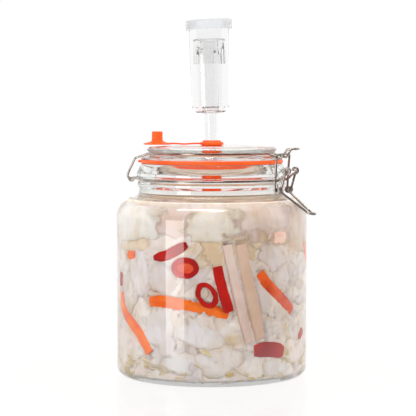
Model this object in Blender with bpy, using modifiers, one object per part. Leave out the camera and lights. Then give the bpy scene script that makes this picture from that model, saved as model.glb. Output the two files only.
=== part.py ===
"""A clip-top glass fermentation jar full of pickled cabbage, with an airlock in its lid.

The origin is the centre of the base. +X points at the latch and -X at the hinge.
Lengths are in millimetres in this file and become metres when the meshes are made.
"""

import math
import random

import bmesh
import bpy
from mathutils import Matrix, Vector

MM = 0.001
GAP = 0.3

# The jar: a straight body, a round shoulder and a neck with a groove for the neck band
BODY_R = 85.0
WALL = 4.0
BASE_THICK = 4.0
BODY_TOP_Z = 140.0
HEEL_R = 7.0
INNER_HEEL_R = 5.0
SHOULDER_R = 18.0
SHOULDER_SWEEP = 68.0
NECK_R = 65.0
COLLAR_R = 67.0
RIM_R = 62.6
MOUTH_R = 56.5
RIM_Z = 188.3
JAR_STEPS = 36

# The gasket and the lid that it rides on
GASKET_Z = RIM_Z + GAP
GASKET_THICK = 3.0
GASKET_R = 63.6
SKIRT_R = 51.9
SKIRT_THICK = 1.3
SKIRT_Z = 182.2
LID_Z = GASKET_Z + GASKET_THICK + GAP
LID_FLANGE_R = 63.2
WAIST_R = 54.0
PLATEAU_R = 58.0
LID_TOP_Z = 204.4
LID_CEILING_Z = 198.7
LID_HOLE_R = 9.2

# The wires, all of one gauge
WIRE_R = 1.0
BAND_R = 66.5
BAND_Z = 174.4
BAIL_R = 55.8
BAIL_Z = 197.6
EYE_R = 2.6

# The hinge at the back: the lid bail curls round a bar that is bent in the neck band
HINGE_X = -74.9
HINGE_Z = 174.2
HINGE_HALF = 16.5
BAIL_LEG_Y = 12.0

# The latch at the front: the band's eyes carry the lever, and the link hooks over the nose
EYE_X = 76.8
EYE_Z = 182.6
EYE_Y = 9.2
LEVER_Y = 11.6
COIL_X = 69.4
COIL_Z = 165.8
COIL_R = 2.3
LINK_X = 69.0
LINK_Z = 197.0
LINK_Y = 14.4
NOSE_Y = 5.0
NOSE_DIP_Z = LINK_Z - 2.0 * WIRE_R - GAP
NOSE_TIP_X = 82.6
NOSE_TIP_Z = 201.8
KNEE = (92.7, 147.2)
HANDLE_TIP = (98.9, 145.4)

# The silicone stopper in the lid, with its strap and plug on the side away from the latch
STRAP_AZIMUTH = 205.0
STRAP_WIDTH = 7.0
STRAP_THICK = 1.3
PLUG_REACH = 48.7
PLUG_TOP_Z = 216.6
PLUG_DISC_R = 12.4
BORE_R = 5.8
BUNG_END_Z = 173.6

# The airlock: it leans a little, and its cap sits at a further slant
LEAN = 1.35
LEAN_PIVOT_Z = 195.0
CAP_SLANT = 1.5
STEM_END_Z = 190.4
AIRLOCK_STEPS = 20

# The pickle: everything lies between the core of the heap and the glass
CORE_R = 69.6
FILL_R = 80.2
FILL_FLOOR = BASE_THICK + 0.4
STICK_THICK = 6.2
CHILLI_THICK = 2.4
TUCK = 3.3
LEAF_THICK = 2.0
LEAF_MARGIN = 5.0
SEED = 11


def polar(azimuth, radius=1.0):
    """The x and y of a point at an azimuth in degrees."""
    return radius * math.cos(math.radians(azimuth)), radius * math.sin(math.radians(azimuth))


def arc(cx, cz, radius, start, stop, segments):
    """Points of a round stretch of a profile, angles in degrees from +X towards +Z."""
    points = []
    for i in range(segments + 1):
        angle = math.radians(start + (stop - start) * i / segments)
        points.append((cx + radius * math.cos(angle), cz + radius * math.sin(angle)))
    return points


def make_material(name, colour, roughness, metallic=0.0, transmission=0.0):
    material = bpy.data.materials.new(name)
    material.use_nodes = True
    shader = material.node_tree.nodes["Principled BSDF"]
    shader.inputs["Base Color"].default_value = (*colour, 1.0)
    shader.inputs["Roughness"].default_value = roughness
    shader.inputs["Metallic"].default_value = metallic
    shader.inputs["Transmission Weight"].default_value = transmission
    return material


def add_object(name, data, material, collection):
    piece = bpy.data.objects.new(name, data)
    if material is not None:
        data.materials.append(material)
    collection.objects.link(piece)
    return piece


def baked_mesh(piece):
    """The mesh of an object with its modifiers applied."""
    bpy.context.view_layer.update()
    depsgraph = bpy.context.evaluated_depsgraph_get()
    return bpy.data.meshes.new_from_object(piece.evaluated_get(depsgraph), depsgraph=depsgraph)


def bake(piece):
    """Apply an object's modifiers and weld what the screw or a curve's caps left loose."""
    mesh = baked_mesh(piece)
    bm = bmesh.new()
    bm.from_mesh(mesh)
    bmesh.ops.remove_doubles(bm, verts=bm.verts, dist=0.00002)
    bm.to_mesh(mesh)
    bm.free()
    piece.modifiers.clear()
    piece.data = mesh
    return piece


def turned(name, profile, steps, material, collection):
    """A turned piece. A profile that starts and ends on the axis is open, any other is a loop."""
    on_axis = profile[0][0] == 0.0 and profile[-1][0] == 0.0
    count = len(profile)
    edges = [(i, i + 1) for i in range(count - 1)]
    if not on_axis:
        edges.append((count - 1, 0))
    mesh = bpy.data.meshes.new(name)
    mesh.from_pydata([(r * MM, 0.0, z * MM) for r, z in profile], edges, [])
    piece = add_object(name, mesh, material, collection)
    screw = piece.modifiers.new("Turn", "SCREW")
    screw.steps = steps
    screw.render_steps = steps
    screw.use_merge_vertices = True
    screw.merge_threshold = 0.00001
    screw.use_smooth_shade = True
    return piece


def wire(name, points, material, collection, radius=WIRE_R):
    """A round wire through a list of points."""
    curve = bpy.data.curves.new(name, "CURVE")
    curve.dimensions = "3D"
    curve.bevel_depth = radius * MM
    curve.bevel_resolution = 2
    curve.use_fill_caps = True
    spline = curve.splines.new("POLY")
    spline.points.add(len(points) - 1)
    for point, place in zip(spline.points, points):
        point.co = (place[0] * MM, place[1] * MM, place[2] * MM, 1.0)
    return add_object(name, curve, material, collection)


def mirrored(points):
    """A path from one side to the middle, followed by its mirror image across the plane y = 0."""
    return points + [(x, -y, z) for x, y, z in reversed(points)]


def hung_on(pieces, name, location, collection):
    """Parent pieces to an empty on their joint's axis, without moving them."""
    empty = bpy.data.objects.new(name, None)
    collection.objects.link(empty)
    empty.location = [value * MM for value in location]
    bpy.context.view_layer.update()
    for piece in pieces:
        piece.parent = empty
        piece.matrix_parent_inverse = empty.matrix_world.inverted()


def combined(name, operation, base, others, material, collection):
    """One closed body from a base and others joined to it or cut out of it, without loose scraps."""
    scratch = bpy.data.collections.new("operands")
    bpy.context.scene.collection.children.link(scratch)
    for shape in others:
        for owner in list(shape.users_collection):
            owner.objects.unlink(shape)
        scratch.objects.link(shape)
    boolean = base.modifiers.new("Combine", "BOOLEAN")
    boolean.operation = operation
    boolean.operand_type = "COLLECTION"
    boolean.collection = scratch
    boolean.solver = "MANIFOLD"
    mesh = baked_mesh(base)
    for shape in [base] + others:
        bpy.data.objects.remove(shape)
    bpy.data.collections.remove(scratch)
    keep_largest_body(mesh)
    mesh.materials.clear()
    mesh.name = name
    return add_object(name, mesh, material, collection)


def fuse(name, shapes, material, collection):
    """Join overlapping shapes into one body."""
    return combined(name, "UNION", shapes[0], shapes[1:], material, collection)


def keep_largest_body(mesh):
    bm = bmesh.new()
    bm.from_mesh(mesh)
    bmesh.ops.triangulate(bm, faces=bm.faces)
    unseen = set(bm.faces)
    bodies = []
    while unseen:
        stack = [unseen.pop()]
        body = list(stack)
        while stack:
            for edge in stack.pop().edges:
                for face in edge.link_faces:
                    if face in unseen:
                        unseen.remove(face)
                        stack.append(face)
                        body.append(face)
        bodies.append(body)
    largest = max(bodies, key=signed_volume)
    kept = set(largest)
    scraps = [face for face in bm.faces if face not in kept]
    bmesh.ops.delete(bm, geom=scraps, context="FACES")
    loose = [vert for vert in bm.verts if not vert.link_faces]
    bmesh.ops.delete(bm, geom=loose, context="VERTS")
    bm.to_mesh(mesh)
    bm.free()


def signed_volume(faces):
    total = 0.0
    for face in faces:
        a, b, c = (vert.co for vert in face.verts)
        total += a.dot(b.cross(c)) / 6.0
    return total


def inner_shoulder():
    """The inside of the shoulder and neck, upwards from the straight wall."""
    centre_r = BODY_R - SHOULDER_R
    bend = arc(centre_r, BODY_TOP_Z, SHOULDER_R - WALL, 0.0, SHOULDER_SWEEP, 3)
    return bend + [(66.0, 155.5), (60.5, 159.5), (58.2, 164.0), (57.0, 171.0), (MOUTH_R, 186.8)]


def outer_shoulder():
    """The outside of the neck and shoulder, downwards from the rim."""
    groove = BAND_R - WIRE_R - GAP
    neck = [
        (RIM_R, RIM_Z), (63.6, 187.3), (65.6, 183.4), (COLLAR_R, 180.0), (COLLAR_R, 177.4),
        (groove, 175.9), (groove, 172.6), (66.3, 170.8), (66.3, 168.8), (NECK_R, 166.0),
        (66.0, 162.2), (68.8, 159.5),
    ]
    centre_r = BODY_R - SHOULDER_R
    return neck + arc(centre_r, BODY_TOP_Z, SHOULDER_R, SHOULDER_SWEEP, 0.0, 3)


def jar_profile():
    """Up the inside from the middle of the floor, over the rim and down the outside."""
    inside = [(0.0, BASE_THICK)]
    inside += arc(BODY_R - WALL - INNER_HEEL_R, BASE_THICK + INNER_HEEL_R, INNER_HEEL_R, -90.0, 0.0, 3)
    inside += inner_shoulder()
    inside.append((57.6, RIM_Z))
    outside = outer_shoulder()
    outside += arc(BODY_R - HEEL_R, HEEL_R, HEEL_R, 0.0, -90.0, 4)
    outside.append((0.0, 0.0))
    return inside + outside


def lid_profile():
    """From the top of the hole outwards and down, then back along the underside."""
    top = [(LID_HOLE_R, LID_TOP_Z), (38.0, LID_TOP_Z - 0.5)]
    edge = [(PLATEAU_R - 2.4, LID_TOP_Z - 1.5), (PLATEAU_R - 0.4, 201.9), (PLATEAU_R, 200.6),
            (57.2, 199.2)]
    waist = [(WAIST_R, 198.8), (WAIST_R, 196.5)]
    flange = [(62.5, 193.5), (LID_FLANGE_R, 192.9), (LID_FLANGE_R - 0.4, LID_Z)]
    ridge = [(SKIRT_R - 0.3, LID_Z), (50.2, 189.6)]
    hollow = [(48.2, 196.2), (44.0, LID_CEILING_Z), (LID_HOLE_R, LID_CEILING_Z)]
    return top + edge + waist + flange + ridge + hollow


def build_jar(materials, collection):
    return turned("jar_glass", jar_profile(), JAR_STEPS, materials["glass"], collection)


def build_lid(materials, collection):
    return turned("lid_glass", lid_profile(), JAR_STEPS, materials["glass"], collection)


def build_gasket(materials, collection):
    """A soft ring with a skirt inside the mouth and a small pull tab on the strap's side."""
    low, high = GASKET_Z, GASKET_Z + GASKET_THICK
    skirt_outside = SKIRT_R + SKIRT_THICK
    profile = [
        (SKIRT_R, high), (GASKET_R, high), (GASKET_R, low), (skirt_outside, low),
        (skirt_outside, SKIRT_Z), (SKIRT_R, SKIRT_Z),
    ]
    ring = bake(turned("gasket_ring", profile, JAR_STEPS, materials["silicone"], collection))
    tab_length, tab_width, tab_thick = 5.0, 12.0, 2.0
    bpy.ops.mesh.primitive_cube_add(size=MM)
    tab = bpy.context.object
    x, y = polar(STRAP_AZIMUTH, GASKET_R + 2.0 - tab_length / 2.0)
    tab.data.transform(Matrix.Diagonal((tab_length, tab_width, tab_thick, 1.0)))
    turn = Matrix.Rotation(math.radians(STRAP_AZIMUTH), 4, "Z")
    tab.data.transform(Matrix.Translation((x * MM, y * MM, (low + high) / 2.0 * MM)) @ turn)
    return fuse("gasket", [ring, tab], materials["silicone"], collection)


def build_neck_band(materials, collection):
    """One wire: an eye, an arm, half the groove, the hinge bar at the back, and the same again."""
    eye = [(EYE_X + x, EYE_Y, EYE_Z + z) for x, z in arc(0.0, 0.0, EYE_R, 185.0, -100.0, 9)]
    arm = [(74.0, EYE_Y, 179.2), (70.6, EYE_Y, 176.0), (67.6, 9.6, BAND_Z + 0.1)]
    front, back = 11.0, 157.0
    steps = 14
    groove = []
    for i in range(steps + 1):
        x, y = polar(front + (back - front) * i / steps, BAND_R)
        groove.append((x, y, BAND_Z))
    bar = [(-68.5, 21.0, BAND_Z), (HINGE_X, HINGE_HALF, HINGE_Z)]
    return wire("neck_band", mirrored(eye + arm + groove + bar), materials["steel"], collection)


def build_lid_bail(materials, collection):
    """One wire: it curls round the hinge bar, runs round the lid's waist and makes the nose."""
    curl = [(HINGE_X + x, BAIL_LEG_Y, HINGE_Z + z) for x, z in arc(0.0, 0.0, EYE_R, -20.0, -190.0, 6)]
    leg = [(HINGE_X - 3.6, BAIL_LEG_Y, HINGE_Z + 3.4), (-71.8, BAIL_LEG_Y, 190.6),
           (-69.8, BAIL_LEG_Y, 192.4), (-62.0, BAIL_LEG_Y, 195.0)]
    steps = 12
    waist = []
    for i in range(steps + 1):
        x, y = polar(167.0 - 161.5 * i / steps, BAIL_R)
        waist.append((x, y, BAIL_Z))
    nose = [(60.5, NOSE_Y, 196.6), (64.5, NOSE_Y, 195.2), (LINK_X - 1.6, NOSE_Y, NOSE_DIP_Z),
            (LINK_X + 1.4, NOSE_Y, NOSE_DIP_Z + 0.1), (74.0, NOSE_Y, 200.4), (75.6, NOSE_Y, 201.5),
            (NOSE_TIP_X - 3.2, NOSE_Y, NOSE_TIP_Z), (NOSE_TIP_X - 0.6, 3.6, NOSE_TIP_Z),
            (NOSE_TIP_X, 1.4, NOSE_TIP_Z)]
    return wire("lid_bail", mirrored(curl + leg + waist + nose), materials["steel"], collection)


def build_latch_link(materials, collection):
    """An upside-down U over the nose, each leg ending in a curl beside the lever's coil."""
    curl = [(COIL_X + x, LINK_Y, COIL_Z + z) for x, z in arc(0.0, 0.0, COIL_R, 75.0, -190.0, 8)]
    leg = [(LINK_X - 1.7, LINK_Y, COIL_Z + 3.6), (LINK_X - 0.6, LINK_Y, 188.0),
           (LINK_X, LINK_Y, LINK_Z - 2.4), (LINK_X, LINK_Y - 0.8, LINK_Z - 0.7),
           (LINK_X, LINK_Y - 2.6, LINK_Z)]
    return wire("latch_link", mirrored(curl + leg), materials["steel"], collection)


def build_latch_lever(materials, collection):
    """The lever: a pivot pin in each eye, a leg down to a coil, and the handle."""
    pin = [(EYE_X, EYE_Y - 1.9, EYE_Z), (EYE_X, LEVER_Y - 0.5, EYE_Z)]
    leg = [(EYE_X - 0.7, LEVER_Y, EYE_Z - 1.4)]
    turns = 13
    inner_y = LEVER_Y - 2.5
    coil = []
    for i in range(turns + 1):
        share = i / turns
        angle = math.radians(-5.0 - 400.0 * share)
        coil.append((COIL_X + COIL_R * math.cos(angle), LEVER_Y + (inner_y - LEVER_Y) * share,
                     COIL_Z + COIL_R * math.sin(angle)))
    handle = [(KNEE[0] - 1.6, 4.4, KNEE[1] + 1.5), (KNEE[0] + 0.6, 4.0, KNEE[1] - 0.4),
              (HANDLE_TIP[0] - 1.6, 3.4, HANDLE_TIP[1] + 0.2), (HANDLE_TIP[0], 1.4, HANDLE_TIP[1])]
    return wire("latch_lever", mirrored(pin + leg + coil + handle), materials["steel"], collection)


def build_stopper(materials, collection):
    """The bung with its bore, the strap over the lid and the spare plug at the strap's end."""
    on_lid = LID_TOP_Z + GAP
    under_lid = LID_CEILING_Z - GAP
    bung = [
        (BORE_R, 208.6), (7.4, 208.6), (8.4, 207.4), (10.2, 207.0), (10.8, 206.3), (10.8, on_lid),
        (LID_HOLE_R - GAP, on_lid), (LID_HOLE_R - GAP, under_lid), (11.2, under_lid), (10.8, 195.8),
        (9.4, 195.0), (8.8, BUNG_END_Z + 0.8), (8.2, BUNG_END_Z), (BORE_R, BUNG_END_Z),
    ]
    body = bake(turned("bung", bung, AIRLOCK_STEPS, materials["silicone"], collection))
    plug = [
        (0.0, PLUG_TOP_Z), (4.3, PLUG_TOP_Z), (4.8, PLUG_TOP_Z - 0.6), (4.9, 208.6), (6.4, 207.0),
        (PLUG_DISC_R - 0.6, 206.4), (PLUG_DISC_R, 205.9), (PLUG_DISC_R - 0.3, on_lid + 0.2),
        (0.0, on_lid + 0.2),
    ]
    spare = bake(turned("plug", plug, AIRLOCK_STEPS, materials["silicone"], collection))
    spare.data.transform(Matrix.Translation((PLUG_REACH * MM, 0.0, 0.0)))
    strap = build_strap(materials, collection, on_lid)
    turn = Matrix.Rotation(math.radians(STRAP_AZIMUTH), 4, "Z")
    for shape in (spare, strap):
        shape.data.transform(turn)
    return fuse("stopper", [body, strap, spare], materials["silicone"], collection)


def build_strap(materials, collection, on_lid):
    """A thin strap along +X that dips between its two ends."""
    low = on_lid + 0.05 + STRAP_THICK / 2.0
    centre_line = [(9.6, low + 0.5), (16.0, low + 0.5), (24.4, low), (31.0, low + 0.4),
                   (38.0, low + 0.5)]
    sections = []
    for x, z in centre_line:
        half, thick = STRAP_WIDTH / 2.0, STRAP_THICK / 2.0
        low, high = z - thick, z + thick
        sections.append([(x, -half, low), (x, half, low), (x, half, high), (x, -half, high)])
    return lofted("strap", sections, materials["silicone"], collection)


def lofted(name, sections, material, collection):
    """A closed solid through four-sided or many-sided sections of the same number of points."""
    bm = bmesh.new()
    rings = []
    for section in sections:
        rings.append([bm.verts.new([value * MM for value in point]) for point in section])
    count = len(sections[0])
    for near, far in zip(rings, rings[1:]):
        for i in range(count):
            j = (i + 1) % count
            bm.faces.new((near[i], near[j], far[j], far[i]))
    bm.faces.new(list(reversed(rings[0])))
    bm.faces.new(rings[-1])
    bmesh.ops.triangulate(bm, faces=bm.faces)
    bmesh.ops.recalc_face_normals(bm, faces=bm.faces)
    mesh = bpy.data.meshes.new(name)
    bm.to_mesh(mesh)
    bm.free()
    return add_object(name, mesh, material, collection)


def airlock_body_profile():
    """Down the outside of the cup and the stem, then up the bore and down inside the cup."""
    outside = [
        (17.9, 312.6), (16.7, 238.4), (15.6, 235.0), (12.6, 233.6), (6.4, 233.2),
        (5.8, 231.4), (5.7, 219.0), (5.2, 208.6), (5.1, STEM_END_Z),
    ]
    bore = [(3.7, STEM_END_Z), (3.9, 219.0), (4.6, 240.0), (6.9, 296.8)]
    inside = [(8.1, 296.8), (7.9, 277.0), (7.0, 237.6), (8.0, 235.4), (12.4, 235.3), (14.6, 236.6),
              (15.4, 239.0), (16.6, 312.6)]
    return outside + bore + inside


def build_airlock(materials, collection):
    """The cup on its stem, the float that covers the inner tube, and the cap."""
    plastic, frosted = materials["plastic"], materials["frosted"]
    body = bake(turned("airlock_body", airlock_body_profile(), AIRLOCK_STEPS, plastic, collection))
    float_cup = build_float(materials, collection)
    cap_profile = [
        (0.0, 315.6), (20.0, 315.6), (20.6, 315.0), (20.6, 307.0), (19.2, 307.0), (19.2, 314.0),
        (0.0, 314.0),
    ]
    cap = bake(turned("airlock_cap", cap_profile, AIRLOCK_STEPS, frosted, collection))
    cap.data.transform(slanted(CAP_SLANT, 311.0))
    for piece in (body, float_cup, cap):
        piece.data.transform(slanted(LEAN, LEAN_PIVOT_Z))
    return [body, float_cup, cap]


def slanted(angle, pivot_z):
    """A turn that tips the +Z axis towards the strap's side about a point on the jar's axis."""
    x, y = polar(STRAP_AZIMUTH)
    axis = Vector((0.0, 0.0, 1.0)).cross(Vector((x, y, 0.0)))
    pivot = Matrix.Translation((0.0, 0.0, pivot_z * MM))
    return pivot @ Matrix.Rotation(math.radians(angle), 4, axis) @ pivot.inverted()


def build_float(materials, collection):
    """An upside-down cup with two pairs of notches in its rim."""
    rim_z, top_z, notch_width, notch_height = 276.6, 298.6, 4.8, 9.0
    profile = [(0.0, top_z), (13.4, top_z), (14.0, top_z - 0.8), (14.2, rim_z), (13.0, rim_z),
               (12.8, top_z - 1.3), (0.0, top_z - 1.3)]
    cup = bake(turned("airlock_float", profile, AIRLOCK_STEPS, materials["plastic"], collection))
    cutters = bpy.data.collections.new("cutters")
    bpy.context.scene.collection.children.link(cutters)
    for azimuth in (-8.0, 82.0):
        bpy.ops.mesh.primitive_cube_add(size=MM)
        cutter = bpy.context.object
        cutter.data.transform(Matrix.Diagonal((40.0, notch_width, 2.0 * notch_height, 1.0)))
        cutter.data.transform(Matrix.Rotation(math.radians(azimuth), 4, "Z"))
        cutter.data.transform(Matrix.Translation((0.0, 0.0, rim_z * MM)))
        for owner in list(cutter.users_collection):
            owner.objects.unlink(cutter)
        cutters.objects.link(cutter)
        cut = cup.modifiers.new("Notch", "BOOLEAN")
        cut.operation = "DIFFERENCE"
        cut.object = cutter
    bake(cup)
    for cutter in list(cutters.objects):
        bpy.data.objects.remove(cutter)
    bpy.data.collections.remove(cutters)
    return cup


# Vegetables that lie against the glass. A station is an azimuth in degrees, a height, and
# how much deeper than the glass the piece lies there where another one passes over it.
CARROTS = {
    "carrot_long": ([(-106.4, 71.0, 0.0), (-97.0, 72.2, 0.0), (-88.0, 71.2, 0.4), (-80.0, 69.4, TUCK),
                     (-67.0, 66.6, TUCK), (-54.5, 61.5, TUCK)], 11.4),
    "carrot_left": ([(-138.0, 75.0, 0.0), (-136.0, 65.4, 0.0), (-132.0, 58.0, 0.0), (-118.4, 45.6, 0.0),
                     (-110.4, 34.4, 0.0), (-106.4, 26.5, 0.0)], 11.0),
    "carrot_right": ([(-34.4, 97.0, 0.0), (-29.6, 88.0, 0.0), (-19.8, 76.5, 0.0),
                      (-6.6, 61.0, 0.0)], 10.6),
    "carrot_bit": ([(-128.2, 109.0, 0.0), (-119.6, 110.4, 0.0)], 8.6),
    "carrot_high": ([(-23.2, 126.0, 1.6), (-12.6, 126.0, 1.6)], 11.6),
    "carrot_side": ([(12.0, 118.0, 0.0), (21.0, 103.0, 0.0), (30.0, 90.0, 0.0)], 9.0),
    "carrot_back_low": ([(62.0, 34.0, 0.0), (76.0, 42.0, 0.0), (90.0, 48.0, 0.0),
                         (104.0, 52.0, 0.0)], 9.0),
    "carrot_back_mid": ([(104.0, 122.0, 0.0), (114.0, 106.0, 0.0), (123.0, 92.0, 0.0)], 8.8),
    "carrot_back_far": ([(168.0, 42.0, 0.0), (180.0, 52.0, 0.0), (192.0, 66.0, 0.0)], 9.2),
}
DAIKONS = {
    "daikon_front": ([(-55.8, 121.5, 0.0), (-51.4, 93.0, 0.0), (-46.6, 65.0, 0.0),
                      (-41.5, 37.5, 0.0)], 9.4),
    "daikon_pale": ([(-47.0, 122.0, 0.0), (-42.8, 93.0, 0.0), (-38.0, 65.0, 0.0), (-35.4, 51.0, 1.2),
                     (-33.0, 39.5, TUCK)], 12.2),
    "daikon_side": ([(32.0, 58.0, 0.0), (27.0, 40.0, 0.0), (22.0, 22.0, 0.0)], 10.0),
    "daikon_back": ([(74.0, 124.0, 0.0), (80.0, 98.0, 0.0), (86.0, 74.0, 0.0)], 10.0),
    "daikon_far": ([(150.0, 118.0, 0.0), (155.0, 92.0, 0.0), (160.0, 68.0, 0.0)], 9.6),
}
CHILLIES = {
    "chilli_band": ([(-102.8, 109.2, 0.0), (-94.5, 111.6, 0.0), (-87.5, 116.2, 0.0),
                     (-80.2, 122.0, 0.0)], 8.8),
    "chilli_sliver": ([(-138.4, 93.0, 0.0), (-138.6, 80.5, 0.0)], 8.6),
    "chilli_strip": ([(-61.6, 103.4, 0.0), (-60.0, 92.0, 0.0), (-57.3, 78.0, 0.0),
                      (-54.2, 64.5, 0.0)], 8.8),
    "chilli_corner": ([(-38.4, 30.2, 0.0), (-30.0, 30.6, 0.0), (-22.0, 29.0, 0.0),
                       (-15.6, 26.4, 0.0)], 13.0),
    "chilli_side": ([(2.0, 36.0, 0.0), (9.0, 42.0, 0.0)], 8.0),
    "chilli_back": ([(122.0, 66.0, 0.0), (133.0, 60.0, 0.0), (143.0, 50.0, 0.0)], 6.4),
}
# Azimuth, height, half width, half height, width of the band and lean
CHILLI_RINGS = {
    "chilli_ring_left": (-81.3, 101.6, 12.4, 9.0, 4.6, 0.0),
    "chilli_ring_loop": (-68.0, 78.8, 9.3, 10.9, 4.2, -0.25),
    "chilli_ring_side": (46.0, 80.0, 7.2, 9.1, 3.4, 0.0),
    "chilli_ring_back": (134.0, 96.0, 7.4, 9.3, 3.6, 0.1),
    "chilli_ring_far": (200.0, 104.0, 7.2, 9.1, 3.4, -0.1),
}


def wall_point(azimuth, z, shift_s, shift_z, radius):
    """A point near the glass, moved along the wall by shift_s and up by shift_z."""
    x, y = polar(azimuth + math.degrees(shift_s / FILL_R), radius)
    return x, y, z + shift_z


def resampled(stations, spacing):
    """Stations at about equal steps along a smooth line through the given ones."""
    points = [Vector((math.radians(a) * FILL_R, z, deep)) for a, z, deep in stations]
    ends = [points[0] * 2.0 - points[1]] + points + [points[-1] * 2.0 - points[-2]]
    result = []
    for i in range(1, len(ends) - 2):
        before, start, stop, after = ends[i - 1:i + 3]
        pieces = max(1, round((stop - start).length / spacing))
        for k in range(pieces):
            t = k / pieces
            result.append(0.5 * (2.0 * start + (stop - before) * t
                                 + (2.0 * before - 5.0 * start + 4.0 * stop - after) * t * t
                                 + (3.0 * start - before - 3.0 * stop + after) * t ** 3))
    result.append(points[-1])
    return result


def wall_strip(name, stations, width, thick, material, collection, taper=0.0, swell=0.0):
    """A cut stick or strip that follows the inside of the glass, swollen when it is a cutter."""
    line = resampled(stations, 13.0)
    start = (line[0] - line[1]).normalized() * swell
    stop = (line[-1] - line[-2]).normalized() * swell
    line[0] += Vector((start.x, start.y, 0.0))
    line[-1] += Vector((stop.x, stop.y, 0.0))
    sections = []
    last = len(line) - 1
    for i, point in enumerate(line):
        along = line[min(i + 1, last)] - line[max(i - 1, 0)]
        along = Vector((along.x, along.y)).normalized()
        across = Vector((-along.y, along.x))
        half = width / 2.0
        if taper and i in (0, last):
            half *= 1.0 - taper
        half += swell
        azimuth = math.degrees(point.x / FILL_R)
        outer = FILL_R - point.z + swell
        inner = outer - thick - 2.0 * swell
        corners = ((-half, inner), (half, inner), (half, outer), (-half, outer))
        sections.append([wall_point(azimuth, point.y, across.x * side, across.y * side, radius)
                         for side, radius in corners])
    return lofted(name, sections, material, collection)


def wall_ring(name, ring, thick, material, collection, swell=0.0):
    """A slice across a chilli, lying flat against the glass."""
    azimuth, z, half_width, half_height, band, lean = ring
    sides = 12
    bm = bmesh.new()
    loops = []
    front, back = FILL_R + swell, FILL_R - thick - swell
    wide, narrow = 1.2 * swell, -1.2 * swell - band
    for radius, grown in ((front, wide), (front, narrow), (back, narrow), (back, wide)):
        loop = []
        for i in range(sides):
            cos, sin = polar(360.0 * i / sides)
            up = (half_height + grown) * sin
            place = wall_point(azimuth, z, (half_width + grown) * cos + lean * up, up, radius)
            loop.append(bm.verts.new([value * MM for value in place]))
        loops.append(loop)
    for k in range(4):
        near, far = loops[k], loops[(k + 1) % 4]
        for i in range(sides):
            j = (i + 1) % sides
            bm.faces.new((near[i], near[j], far[j], far[i]))
    bmesh.ops.triangulate(bm, faces=bm.faces)
    bmesh.ops.recalc_face_normals(bm, faces=bm.faces)
    mesh = bpy.data.meshes.new(name)
    bm.to_mesh(mesh)
    bm.free()
    return add_object(name, mesh, material, collection)


def build_vegetables(materials, collection, swell=0.0):
    kinds = (
        (CARROTS, STICK_THICK, "carrot", 0.25),
        (DAIKONS, STICK_THICK, "daikon", 0.0),
        (CHILLIES, CHILLI_THICK, "chilli", 0.5),
    )
    pieces = []
    for table, thick, kind, taper in kinds:
        for name, (stations, width) in table.items():
            piece = wall_strip(name, stations, width, thick, materials[kind], collection, taper, swell)
            pieces.append(piece)
    for name, ring in CHILLI_RINGS.items():
        pieces.append(wall_ring(name, ring, CHILLI_THICK, materials["chilli"], collection, swell))
    return pieces


def vegetable_lines():
    """Every vegetable as points on the unrolled wall, with its half width and its inner radius."""
    lines = []
    for table, thick in ((CARROTS, STICK_THICK), (DAIKONS, STICK_THICK), (CHILLIES, CHILLI_THICK)):
        for stations, width in table.values():
            for point in resampled(stations, 5.0):
                lines.append((point.x, point.y, width / 2.0, FILL_R - point.z - thick))
    for azimuth, z, half_width, half_height, _, _ in CHILLI_RINGS.values():
        half = max(half_width, half_height)
        lines.append((math.radians(azimuth) * FILL_R, z, half, FILL_R - CHILLI_THICK))
    return lines


def room_at(z):
    """How far out the pickle may reach at a height, inside the wall and the shoulder."""
    outline = inner_shoulder()
    if z <= outline[0][1]:
        return FILL_R
    for (r0, z0), (r1, z1) in zip(outline, outline[1:]):
        if z <= z1:
            return min(FILL_R, r0 + (r1 - r0) * (z - z0) / (z1 - z0) - 1.0)
    return MOUTH_R - 1.0


def free_radius(s, z, lines):
    """The radius that a leaf may reach at a place on the unrolled wall."""
    room = room_at(z)
    turn = 2.0 * math.pi * FILL_R
    for line_s, line_z, half, inner in lines:
        across = (s - line_s + turn / 2.0) % turn - turn / 2.0
        if math.hypot(across, z - line_z) < half + LEAF_MARGIN:
            room = min(room, inner - 0.9)
    return room


def leaf_solid(name, outside, inside, material, collection):
    """A thin wavy solid between two grids of points whose faces are split alike."""
    rows, columns = len(outside), len(outside[0])
    bm = bmesh.new()
    top = [[bm.verts.new([v * MM for v in p]) for p in row] for row in outside]
    bottom = [[bm.verts.new([v * MM for v in p]) for p in row] for row in inside]
    for i in range(rows - 1):
        for j in range(columns - 1):
            for grid in (top, bottom):
                a, b, c, d = grid[i][j], grid[i + 1][j], grid[i + 1][j + 1], grid[i][j + 1]
                bm.faces.new((a, b, c))
                bm.faces.new((a, c, d))
    border = [(i, 0) for i in range(rows)] + [(rows - 1, j) for j in range(1, columns)]
    border += [(i, columns - 1) for i in range(rows - 2, -1, -1)]
    border += [(0, j) for j in range(columns - 2, 0, -1)]
    for (i, j), (k, m) in zip(border, border[1:] + border[:1]):
        bm.faces.new((top[i][j], top[k][m], bottom[k][m]))
        bm.faces.new((top[i][j], bottom[k][m], bottom[i][j]))
    bmesh.ops.recalc_face_normals(bm, faces=bm.faces)
    mesh = bpy.data.meshes.new(name)
    bm.to_mesh(mesh)
    bm.free()
    return add_object(name, mesh, material, collection)


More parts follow.
